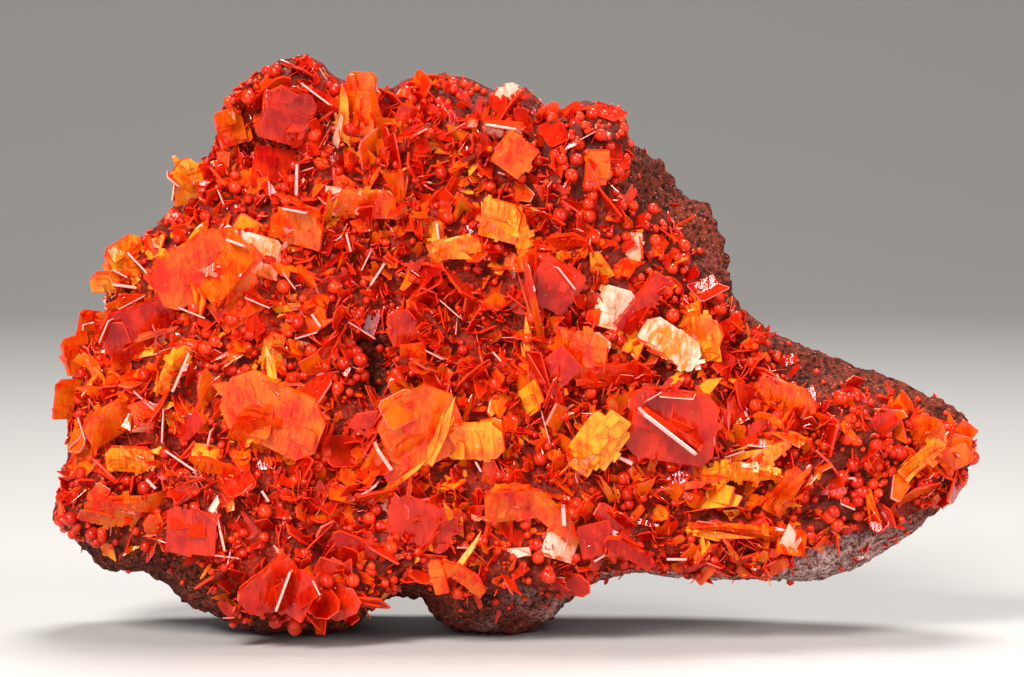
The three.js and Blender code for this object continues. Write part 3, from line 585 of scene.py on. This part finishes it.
def tabletTemplate(index, shape, rimmed):
    bm = bmesh.new()
    bmesh.ops.create_cube(bm, size=1)
    bmesh.ops.scale(bm, vec=(1, 1, rimSlant["core"]), verts=bm.verts)
    far = [vertex for vertex in bm.verts if vertex.co.y > 0]
    bmesh.ops.scale(bm, vec=(shape["taper"], 1, 1), verts=far)
    bmesh.ops.translate(bm, vec=(shape["shear"], 0, 0), verts=far)
    left = sorted(far, key=lambda vertex: vertex.co.x)[:2]
    bmesh.ops.translate(bm, vec=(0, -shape["chip"], 0), verts=left)
    upright = [e for e in bm.edges if abs(e.verts[0].co.z - e.verts[1].co.z) > 0.1]
    bmesh.ops.bevel(bm, geom=upright, offset=shape["corner"], segments=1, profile=0.5, affect="EDGES",
                    material=-1)
    flats = [face for face in bm.faces if abs(face.normal.z) > 0.9]
    lift = (1 - rimSlant["core"]) / 2
    if rimmed:
        bmesh.ops.inset_individual(bm, faces=flats, thickness=rimSlant["inwards"], depth=lift)
    for face in bm.faces:
        face.material_index = 0 if abs(face.normal.z) > 0.9 else 1
    # The bevel leaves the faces in an order that changes between runs, so their corners settle it
    bm.verts.index_update()
    bm.faces.sort(key=lambda face: sum(2 ** vertex.index for vertex in face.verts))
    mesh = meshOf(bm, f"tablet{index}{'Rimmed' if rimmed else ''}")
    mesh.attributes.new("tint", "FLOAT", "FACE")
    return mesh


def ballTemplate(cuts):
    bm = bmesh.new()
    bmesh.ops.create_icosphere(bm, subdivisions=cuts, radius=1)
    mesh = meshOf(bm, f"ball{cuts}")
    mesh.attributes.new("tint", "FLOAT", "FACE")
    mesh.shade_smooth()
    return mesh


tablets = [tabletTemplate(index, shape, True) for index, shape in enumerate(tabletShapes)]
chips = [tabletTemplate(index, shape, False) for index, shape in enumerate(tabletShapes)]
smallBall, largeBall = ballTemplate(1), ballTemplate(2)


def addCopy(bm, template, matrix, tint):
    # A copy that would stand out too far at the front is moved back
    ahead = frontLimit - min((matrix @ vertex.co).y for vertex in template.vertices)
    if ahead > 0:
        matrix = Matrix.Translation((0, ahead, 0)) @ matrix
    template.attributes["tint"].data.foreach_set("value", [tint] * len(template.polygons))
    template.transform(matrix)
    bm.from_mesh(template)
    template.transform(matrix.inverted())


def tabletMatrix(middle, axis, across, size, thickness):
    facing = axis.cross(across).normalized()
    side = axis.cross(facing).normalized()
    turned = Matrix((side, axis, facing)).transposed().to_4x4()
    scaled = Matrix.Diagonal((size[0], size[1], thickness, 1))
    return Matrix.Translation(middle) @ turned @ scaled


def frayed(spread, pick):
    # A small random turn in degrees, for plates that don't quite lie parallel
    return Euler([math.radians(pick.gauss(0, spread)) for _ in range(3)]).to_matrix()


def skewed(limit, pick):
    # The same with a hard limit in place of a spread
    return Euler([math.radians(pick.uniform(-1, 1) * limit) for _ in range(3)]).to_matrix()


# Where the crystals are warmer (towards amber) or deeper (towards red) in the front view, in mm

warmSpots = [
    {"name": "left shoulder", "at": (-58, 59), "reach": (12, 8), "warmth": 0.5},
    {"name": "great left tablet", "at": (-38, 37), "reach": (11, 9), "warmth": 0.3},
    {"name": "flank", "at": (-64, 24), "reach": (9, 10), "warmth": 0.2},
    {"name": "left edge", "at": (-66, 44), "reach": (10, 9), "warmth": 0.3},
    {"name": "golden wing", "at": (-8, 33), "reach": (12, 9), "warmth": 0.35},
    {"name": "upper rim", "at": (-24, 84), "reach": (7, 8), "warmth": 0.35},
    {"name": "centre top", "at": (-6, 66), "reach": (9, 8), "warmth": 0.2},
    {"name": "middle right", "at": (24, 46), "reach": (9, 9), "warmth": 0.3},
    {"name": "stepped yellow", "at": (13, 33), "reach": (5, 5), "warmth": 0.3},
    {"name": "low centre", "at": (2, 20), "reach": (12, 7), "warmth": 0.3},
    {"name": "tail", "at": (40, 24), "reach": (14, 9), "warmth": 0.35},
    {"name": "tail tip", "at": (66, 30), "reach": (8, 6), "warmth": 0.15},
    {"name": "left middle", "at": (-50, 32), "reach": (12, 8), "warmth": -0.1},
    {"name": "centre", "at": (-14, 52), "reach": (13, 9), "warmth": -0.25},
    {"name": "upper right lobe", "at": (12, 76), "reach": (12, 9), "warmth": -0.35},
    {"name": "lower left", "at": (-46, 18), "reach": (14, 8), "warmth": -0.2},
]
plainWarmth = {"mean": 0.42, "mottling": 0.2, "patch": 6 * mm}


def warmthAt(place):
    warmth = sum(spot["warmth"] * nearSpot(place, spot) for spot in warmSpots)
    patches = plainWarmth["mottling"] * noise.noise(place / plainWarmth["patch"])
    return plainWarmth["mean"] + warmth + patches


slotSteps = [("wulfenite_red", 0.48), ("wulfenite_orange", 0.82), ("wulfenite_amber", 1.3),
             ("wulfenite_pale", 9)]


def slotFor(warmth):
    return next(slot for slot, top in slotSteps if warmth < top)


# Small wulfenite blades all over the coat, in books of nearly parallel plates

bladeSets = [
    {"name": "shards", "count": 3300, "book": (1, 3), "length": (1.8, 5.4), "width": (0.2, 0.66),
     "thickness": (0.14, 0.42), "tilt": (12, 78), "spread": 0.24, "seed": 61, "pale": 0.015,
     "shapes": chips, "tint": (0, 1)},
    {"name": "plates", "count": 620, "book": (1, 2), "length": (4.4, 8.6), "width": (0.3, 0.9),
     "thickness": (0.22, 0.46), "tilt": (35, 84), "spread": 0.22, "seed": 62, "pale": 0.004,
     "shapes": tablets, "tint": (0, 1)},
    {"name": "druse", "count": 3000, "book": (1, 2), "length": (0.7, 1.9), "width": (0.35, 0.9),
     "thickness": (0.16, 0.36), "tilt": (0, 80), "spread": 0.2, "seed": 64, "pale": 0.01,
     "shapes": chips, "tint": (0, 0.95)},
    {"name": "needles", "count": 260, "book": (1, 2), "length": (1.6, 4.0), "width": (0.05, 0.1),
     "thickness": (0.16, 0.3), "tilt": (50, 88), "spread": 0.2, "seed": 63, "pale": 0,
     "shapes": chips[2:3], "tint": (0.985, 1)},
]
bladeBook = {"scale": (0.6, 1), "fray": 7, "sunk": 0.3, "apart": 0.7}
coatGap = 1.0 * mm
outline = {"margin": 0.35 * mm, "middle": Vector((-6, 0, 42)) * mm, "startAt": -0.1,
           "lowest": 0.3 * mm, "edgeDepth": -0.01, "hangFrom": 26 * mm, "hangSlope": -0.3,
           "hangShare": 0.2}


def withinOutline(place):
    # Whether a point, drawn in by the margin, still lies in front of the rock or the coat
    inwards = (outline["middle"] - place) * Vector((1, 0, 1))
    drawn = place + inwards.normalized() * outline["margin"]
    start = Vector((drawn.x, outline["startAt"], drawn.z))
    hit = any(tree.ray_cast(start, Vector((0, 1, 0)))[0] for tree in (coatTree, rockTree))
    return hit and place.z > outline["lowest"]


def makeBlades():
    sheets = {slot: bmesh.new() for slot in crystalLooks}
    for group in bladeSets:
        pick = random.Random(group["seed"])
        points = outsidePoints("mimetite_coat", rockTree, coatGap, group["count"], group["seed"])
        for place, normal in points:
            length = pick.uniform(*group["length"]) * mm
            axis = tiltedFrom(normal, math.radians(pick.uniform(*group["tilt"])), pick)
            across = tiltedFrom(normal, math.radians(90), pick)
            warmth = warmthAt(place) + pick.gauss(0, group["spread"])
            slot = "wulfenite_pale" if pick.random() < group["pale"] else slotFor(warmth)
            for _ in range(pick.randint(*group["book"])):
                scale = pick.uniform(*bladeBook["scale"])
                size = (length * scale * pick.uniform(*group["width"]), length * scale)
                turned = frayed(bladeBook["fray"], pick)
                leaf = turned @ axis
                apart = pick.uniform(-bladeBook["apart"], bladeBook["apart"])
                middle = place + leaf * (bladeBook["sunk"] * size[1]) + across * apart * mm
                thickness = pick.uniform(*group["thickness"]) * mm
                matrix = tabletMatrix(middle, leaf, turned @ across, size, thickness)
                hangs = place.z < outline["hangFrom"] and leaf.z < outline["hangSlope"]
                kept = pick.random() > max(bareShare(place), hangs * (1 - outline["hangShare"]))
                side = (turned @ across) * (0.5 * size[0])
                ends = (middle + leaf * (0.5 * size[1]), middle + side, middle - side)
                if kept and all(withinOutline(end) for end in ends):
                    shape, tint = pick.choice(group["shapes"]), pick.uniform(*group["tint"])
                    addCopy(sheets[slot], shape, matrix, tint)
    for slot, bm in sheets.items():
        newPiece(slot.replace("wulfenite_", "wulfenite_small_"), meshOf(bm, slot),
                 [crystalFinishes[slot], edge], slot)


makeBlades()
print("stage: small blades are placed")


# Plates that stand edge-on and show as pale bars: both ends in the front view and the width, in mm

paleBars = [
    (-34.2, 75.8, -34.2, 70.5, 0.7), (-36.4, 69.2, -32.3, 68.5, 0.55), (-56.5, 72.6, -54.6, 70.9, 0.4),
    (-54.6, 70.9, -55.0, 68.1, 0.35), (-47.2, 72.2, -45.8, 69.0, 0.35), (-45.1, 64.1, -42.1, 63.0, 0.6),
    (-61.6, 61.7, -58.2, 58.1, 0.45), (-64.3, 58.7, -61.8, 57.4, 0.4), (-64.0, 56.3, -59.9, 55.7, 0.7),
    (-55.0, 54.2, -48.8, 51.6, 0.45), (-63.3, 52.7, -58.9, 54.9, 0.35), (-63.4, 51.6, -65.1, 47.8, 0.4),
    (-42.3, 55.3, -38.1, 53.6, 0.35), (-36.6, 59.2, -34.6, 56.4, 0.35), (-26.3, 65.3, -25.6, 62.4, 0.5),
    (-22.7, 62.8, -24.4, 59.2, 0.35), (-20.5, 60.0, -22.9, 56.3, 0.55), (-34.6, 48.7, -30.8, 49.9, 0.4),
    (-31.9, 52.1, -30.4, 49.9, 0.6), (-51.3, 46.5, -54.1, 40.1, 0.6), (-59.9, 40.3, -56.3, 37.1, 0.4),
    (-69.4, 35.4, -68.1, 31.5, 0.4), (-55.0, 37.7, -55.2, 31.9, 0.4), (-47.3, 34.5, -47.9, 32.1, 0.4),
    (-55.0, 31.1, -50.1, 27.7, 0.5), (-21.6, 32.2, -19.2, 28.5, 0.85), (-47.0, 22.0, -45.5, 15.0, 0.6),
    (-34.6, 13.0, -37.0, 6.4, 0.6), (-31.2, 11.4, -30.0, 9.0, 0.4), (-33.5, 88.8, -28.7, 85.2, 0.4),
    (-4.3, 82.0, 1.0, 81.0, 0.6), (2.0, 60.5, 3.2, 56.0, 0.5), (6.5, 60.0, 9.5, 56.3, 0.45),
    (-11.5, 54.3, -7.9, 51.2, 0.3), (-3.4, 46.3, -2.1, 44.8, 0.45), (-13.7, 46.5, -10.7, 45.0, 0.35),
    (19.8, 37.8, 28.7, 30.7, 0.95), (20.6, 38.8, 23.0, 40.2, 0.3), (23.0, 40.2, 28.6, 40.0, 0.3),
    (-23.9, 24.2, -21.2, 26.2, 0.55), (7.8, 22.7, 8.0, 19.8, 0.95), (15.9, 30.0, 18.9, 28.5, 0.9),
    (-8.9, 15.9, -5.8, 15.9, 0.35), (12.7, 13.8, 14.6, 15.0, 0.6), (24.3, 13.8, 27.6, 13.8, 0.6),
    (-5.7, 29.0, -4.7, 27.3, 0.5), (4.3, 37.5, 5.8, 31.9, 0.3), (37.0, 31.2, 39.6, 30.9, 0.45),
    (-47.2, 14.5, -43.2, 14.0, 0.4), (-57.6, 26.6, -56.0, 25.0, 0.7), (-39.8, 24.6, -38.6, 22.8, 0.6),
    (-12.2, 66.8, -11.9, 64.0, 0.6), (33.0, 30.0, 36.4, 31.0, 0.4), (52.0, 22.6, 54.4, 21.6, 0.4),
]
bar = {"depth": 4.2 * mm, "proud": 0.4, "slim": 0.66, "lean": 12, "seed": 8}


def seated(place):
    # A place in the front view brought back to the solids, or to their nearest point where it misses them
    hit = fanTree.ray_cast(Vector((place.x, outline["startAt"], place.z)), Vector((0, 1, 0)))[0]
    return hit or fanTree.find_nearest(Vector((place.x, outline["edgeDepth"], place.z)))[0]


def makeBars():
    pick = random.Random(bar["seed"])
    bm = bmesh.new()
    for x1, z1, x2, z2, width in paleBars:
        ends = [Vector((x1, 0, z1)) * mm, Vector((x2, 0, z2)) * mm]
        middle = (ends[0] + ends[1]) / 2
        middle = seated(middle) - Vector((0, bar["proud"] * bar["depth"] / 2, 0))
        forwards = skewed(bar["lean"], pick) @ Vector((0, -1, 0))
        across = (ends[1] - ends[0]).normalized().cross(forwards)
        size = ((ends[1] - ends[0]).length, bar["depth"])
        matrix = tabletMatrix(middle, forwards, across.cross(forwards), size, bar["slim"] * width * mm)
        addCopy(bm, tablets[2], matrix, 1.0)
    newPiece("wulfenite_pale_bars", meshOf(bm, "paleBars"), [crystalFinishes["wulfenite_red"], edge],
             "wulfenite_pale")


# Long slender blades that stand clear of the rest: root and tip in the front view and the width, in mm

longBlades = [
    (-13.7, 28.9, -8.4, 40.3, 2.6, "wulfenite_amber"), (-21.2, 23.6, -12.6, 30.2, 1.3, "wulfenite_amber"),
    (-16.7, 23.4, -15.9, 28.3, 0.8, "wulfenite_orange"), (15.9, 22.1, 13.7, 27.6, 1.5, "wulfenite_orange"),
    (2.0, 44.0, 2.6, 52.4, 1.6, "wulfenite_amber"), (4.7, 46.5, 2.3, 62.3, 1.7, "wulfenite_orange"),
    (5.7, 31.4, 4.6, 35.2, 1.3, "wulfenite_amber"), (31.4, 39.6, 30.1, 42.9, 1.2, "wulfenite_amber"),
    (30.3, 13.0, 29.4, 17.7, 1.4, "wulfenite_amber"), (-9.6, 19.8, -10.8, 24.1, 1.6, "wulfenite_amber"),
    (-37.7, 41.0, -38.7, 48.5, 1.9, "wulfenite_amber"), (-18.1, 68.0, -17.2, 75.4, 1.7, "wulfenite_orange"),
    (-27.2, 78.4, -26.2, 89.0, 2.8, "wulfenite_amber"), (-21.3, 80.0, -23.1, 88.2, 2.6, "wulfenite_orange"),
    (-29.7, 66.1, -28.7, 72.2, 1.6, "wulfenite_amber"), (-51.6, 71.0, -53.2, 75.6, 2.0, "wulfenite_amber"),
    (0.8, 64.6, -4.3, 68.1, 1.7, "wulfenite_amber"), (30.0, 28.7, 43.2, 31.3, 1.8, "wulfenite_amber"),
    (39.8, 21.3, 46.5, 29.7, 2.3, "wulfenite_orange"), (61.7, 26.2, 67.4, 31.8, 1.7, "wulfenite_amber"),
    (56.2, 24.8, 57.9, 18.9, 1.6, "wulfenite_orange"), (26.7, 18.2, 38.4, 17.2, 1.6, "wulfenite_amber"),
    (-41.0, 47.5, -48.2, 45.0, 1.4, "wulfenite_orange"), (-60.5, 48.0, -53.0, 50.5, 1.5, "wulfenite_orange"),
    (-8.9, 12.8, -4.6, 18.8, 1.2, "wulfenite_amber"), (36.0, 12.6, 33.2, 18.0, 1.3, "wulfenite_amber"),
    (-66.5, 45.5, -60.8, 41.0, 1.3, "wulfenite_orange"), (22.5, 24.5, 33.5, 27.0, 1.2, "wulfenite_orange"),
    (-31.0, 29.0, -27.5, 36.0, 1.2, "wulfenite_red"), (-15.5, 14.0, -11.0, 20.5, 1.2, "wulfenite_red"),
    (9.4, 27.8, 12.4, 30.3, 3.2, "wulfenite_pale"), (-28.5, 78.5, -27.4, 84.2, 1.7, "wulfenite_pale"),
    (43.0, 15.5, 44.6, 19.7, 3.4, "wulfenite_pale"), (-47.5, 21.5, -46.0, 24.0, 1.6, "wulfenite_pale"),
]
longBlade = {"thickness": 0.4 * mm, "rooted": 0.5 * mm, "clear": 0.8 * mm, "deepest": 1.5 * mm,
             "book": 4, "fray": 7, "apart": 0.3, "length": (0.45, 0.9), "width": (0.3, 0.6),
             "mainWidth": 0.85, "shapes": (3, 4, 6), "tint": (0.3, 0.95), "touchedAt": (0.3, 0.5, 0.7),
             "seed": 19}


def makeLongBlades():
    pick = random.Random(longBlade["seed"])
    sheets = {slot: bmesh.new() for slot in crystalLooks}
    for x1, z1, x2, z2, width, slot in longBlades:
        root, tip = Vector((x1, 0, z1)) * mm, Vector((x2, 0, z2)) * mm
        root = seated(root) + Vector((0, longBlade["rooted"], 0))
        tip.y = min(seated(tip).y, root.y + longBlade["deepest"]) - longBlade["clear"]
        for share in longBlade["touchedAt"]:
            along = root.lerp(tip, share)
            behind = along.y + longBlade["clear"] - seated(along).y
            tip.y -= max(0, behind) / share
        axis = (tip - root).normalized()
        across = axis.cross(Vector((0, -1, 0))).normalized()
        for leaf in range(longBlade["book"]):
            turned = frayed(longBlade["fray"], pick)
            share = 1.0 if leaf == 0 else pick.uniform(*longBlade["length"])
            breadth = longBlade["mainWidth"] if leaf == 0 else pick.uniform(*longBlade["width"])
            size = (width * mm * breadth, (tip - root).length * share)
            along = (turned @ axis) if leaf else axis
            apart = pick.uniform(-longBlade["apart"], longBlade["apart"])
            middle = root + along * size[1] / 2 + across * apart * width * mm * min(leaf, 1)
            matrix = tabletMatrix(middle, along, turned @ across, size, longBlade["thickness"])
            shape, tint = tablets[pick.choice(longBlade["shapes"])], pick.uniform(*longBlade["tint"])
            addCopy(sheets[slot], shape, matrix, tint)
    for slot, bm in sheets.items():
        newPiece(slot.replace("wulfenite_", "wulfenite_long_"), meshOf(bm, slot + "Long"),
                 [crystalFinishes[slot], edge], slot)


# Mimetite balls between the blades

ballSets = [
    {"name": "mimetite_balls_low", "count": 2400, "radius": (0.3, 0.8), "seed": 5, "always": 0.6,
     "onBare": 1.2, "shape": smallBall},
    {"name": "mimetite_balls_high", "count": 1500, "radius": (0.6, 1.25), "seed": 6, "always": 0.35,
     "onBare": 0.7, "shape": largeBall},
]
ballRise = (0.1, 1.0)


def makeBalls():
    for group in ballSets:
        pick = random.Random(group["seed"])
        bm = bmesh.new()
        points = outsidePoints("mimetite_coat", rockTree, coatGap, group["count"], group["seed"])
        for place, normal in points:
            radius = pick.uniform(*group["radius"]) * mm
            middle = place + normal * radius * pick.uniform(*ballRise)
            matrix = Matrix.Translation(middle) @ Matrix.Scale(radius, 4)
            kept = pick.random() < group["always"] + group["onBare"] * bareShare(place)
            if kept and withinOutline(middle + normal * radius):
                addCopy(bm, group["shape"], matrix, pick.random())
        newPiece(group["name"], meshOf(bm, group["name"]), [balls], "mimetite")


# Stray balls and blades on the bare rock, fewer with the distance from the coat

strays = {"balls": 1500, "blades": 900, "gap": 0.3 * mm, "reach": 5 * mm, "share": 0.8,
          "radius": (0.3, 0.75), "length": (1.0, 2.6), "width": (0.3, 0.7), "thickness": 0.2 * mm,
          "tilt": (15, 75), "sunk": 0.3, "lowest": 1.5 * mm, "seed": 33}


def strayPoints(count, seed, pick):
    for place, normal in outsidePoints("gossan_matrix", coatTree, strays["gap"], count, seed):
        away = coatTree.find_nearest(place)[3] / strays["reach"]
        if place.z > strays["lowest"] and pick.random() < math.exp(-away * away) * strays["share"]:
            yield ground.find_nearest(place)[0], normal


def makeStrays():
    pick = random.Random(strays["seed"])
    bm = bmesh.new()
    for place, normal in strayPoints(strays["balls"], strays["seed"] + 1, pick):
        radius = pick.uniform(*strays["radius"]) * mm
        middle = place + normal * radius * strays["sunk"]
        addCopy(bm, smallBall, Matrix.Translation(middle) @ Matrix.Scale(radius, 4), pick.random())
    newPiece("mimetite_balls_stray", meshOf(bm, "strayBalls"), [balls], "mimetite")
    bm = bmesh.new()
    for place, normal in strayPoints(strays["blades"], strays["seed"] + 2, pick):
        length = pick.uniform(*strays["length"]) * mm
        axis = tiltedFrom(normal, math.radians(pick.uniform(*strays["tilt"])), pick)
        across = tiltedFrom(axis, math.radians(90), pick)
        size = (length * pick.uniform(*strays["width"]), length)
        middle = place + axis * strays["sunk"] * length
        matrix = tabletMatrix(middle, axis, across, size, strays["thickness"])
        addCopy(bm, pick.choice(chips), matrix, pick.random())
    newPiece("wulfenite_stray_blades", meshOf(bm, "strayBlades"), [crystalFinishes["wulfenite_red"], edge],
             "wulfenite_red")


makeBalls()
makeStrays()
print("stage: mimetite balls are placed")


# The wulfenite fans: each solid with stepped, slanted faces and thinner plates grown beside it

fanDetail = {"bigFace": 5 * mm * mm, "alike": 0.985, "flatWithin": 2, "leastForwards": -0.15,
             "shade": (0.2, 0.85), "beside": (2, 4), "share": (0.26, 0.56), "within": 0.8,
             "rise": (-1.4, 0.5), "thickness": (0.2, 0.45), "fray": 11, "tint": (0.2, 1)}


def plateFrames(bm):
    # The flat faces that look forwards, with their own directions and extents
    found = []
    for face in bm.faces:
        if face.calc_area() < fanDetail["bigFace"] or face.normal.y > fanDetail["leastForwards"]:
            continue
        longest = max(face.edges, key=lambda e: e.calc_length())
        across = (longest.verts[1].co - longest.verts[0].co).normalized()
        along = face.normal.cross(across).normalized()
        spread = [[(v.co - face.calc_center_median()).dot(d) for v in face.verts] for d in (across, along)]
        extents = [(min(values), max(values)) for values in spread]
        found.append({"middle": face.calc_center_median(), "normal": face.normal.copy(), "across": across,
                      "along": along, "extents": extents})
    return found


def plainFan(name):
    # The solid itself, with the faces that lie along its big plates told from their rims
    flat = mergedNode(name)
    bmesh.ops.dissolve_limit(flat, angle_limit=math.radians(fanDetail["flatWithin"]), verts=flat.verts,
                            edges=flat.edges)
    plates = plateFrames(flat)
    directions = [face.normal.copy() for face in flat.faces if face.calc_area() > fanDetail["bigFace"]]
    flat.free()
    bm = mergedNode(name)
    for face in bm.faces:
        along = any(abs(face.normal.dot(direction)) > fanDetail["alike"] for direction in directions)
        face.material_index = 0 if along else 1
    return bm, plates


# Small steps of growth on the plates, square to them: how many on a square millimetre for each finish

steps = {"wulfenite_red": 0.12, "wulfenite_orange": 0.3, "wulfenite_amber": 0.5, "wulfenite_pale": 0.5}
stepShape = {"width": (0.4, 1.3), "length": (0.9, 3.4), "thickness": (0.16, 0.34), "rise": (-0.06, 0.14),
             "lean": 4, "within": 0.74, "tint": (0.1, 0.9)}


def addSteps(bm, plates, slot, pick):
    for plate in plates:
        width, height = (high - low for low, high in plate["extents"])
        for _ in range(round(width * height * steps[slot] / (mm * mm))):
            place = plate["middle"] + plate["normal"] * pick.uniform(*stepShape["rise"]) * mm
            for axis, (low, high) in zip((plate["across"], plate["along"]), plate["extents"]):
                place += axis * pick.uniform(low, high) * stepShape["within"]
            lean = skewed(stepShape["lean"], pick)
            axis, across = lean @ plate["along"], lean @ plate["across"]
            size = [pick.uniform(*stepShape[side]) * mm for side in ("width", "length")]
            matrix = tabletMatrix(place, axis, across, size, pick.uniform(*stepShape["thickness"]) * mm)
            addCopy(bm, chips[2], matrix, pick.uniform(*stepShape["tint"]))


def addPlatesBeside(bm, plates, pick):
    for plate in plates:
        width, height = (high - low for low, high in plate["extents"])
        for _ in range(pick.randint(*fanDetail["beside"])):
            share = [pick.uniform(*fanDetail["share"]) for _ in range(2)]
            place = plate["middle"].copy()
            for axis, (low, high) in zip((plate["across"], plate["along"]), plate["extents"]):
                place += axis * pick.uniform(low, high) * fanDetail["within"]
            place += plate["normal"] * pick.uniform(*fanDetail["rise"]) * mm
            lean = frayed(fanDetail["fray"], pick)
            axis, across = lean @ plate["along"], lean @ plate["across"]
            size = (width * share[0], height * share[1])
            matrix = tabletMatrix(place, axis, across, size, pick.uniform(*fanDetail["thickness"]) * mm)
            addCopy(bm, pick.choice(tablets), matrix, pick.uniform(*fanDetail["tint"]))


def makeFans():
    slots = {row["node"]: row["material_slot"] for row in frame["record"]["subparts"]}
    for name in sorted(frame["nodes"]):
        if not name.startswith("wulfenite_"):
            continue
        pick = random.Random(name)
        bm, plates = plainFan(name)
        tint = bm.faces.layers.float.new("tint")
        shade = pick.uniform(*fanDetail["shade"])
        for face in bm.faces:
            face[tint] = shade
        addPlatesBeside(bm, plates, pick)
        slot = slots[name]
        addSteps(bm, plates, slot, pick)
        newPiece(name + "_fan", meshOf(bm, name + "_fan"), [crystalFinishes[slot], edge], slot, [name])


makeFans()
makeBars()
makeLongBlades()
print("stage: wulfenite fans are made")
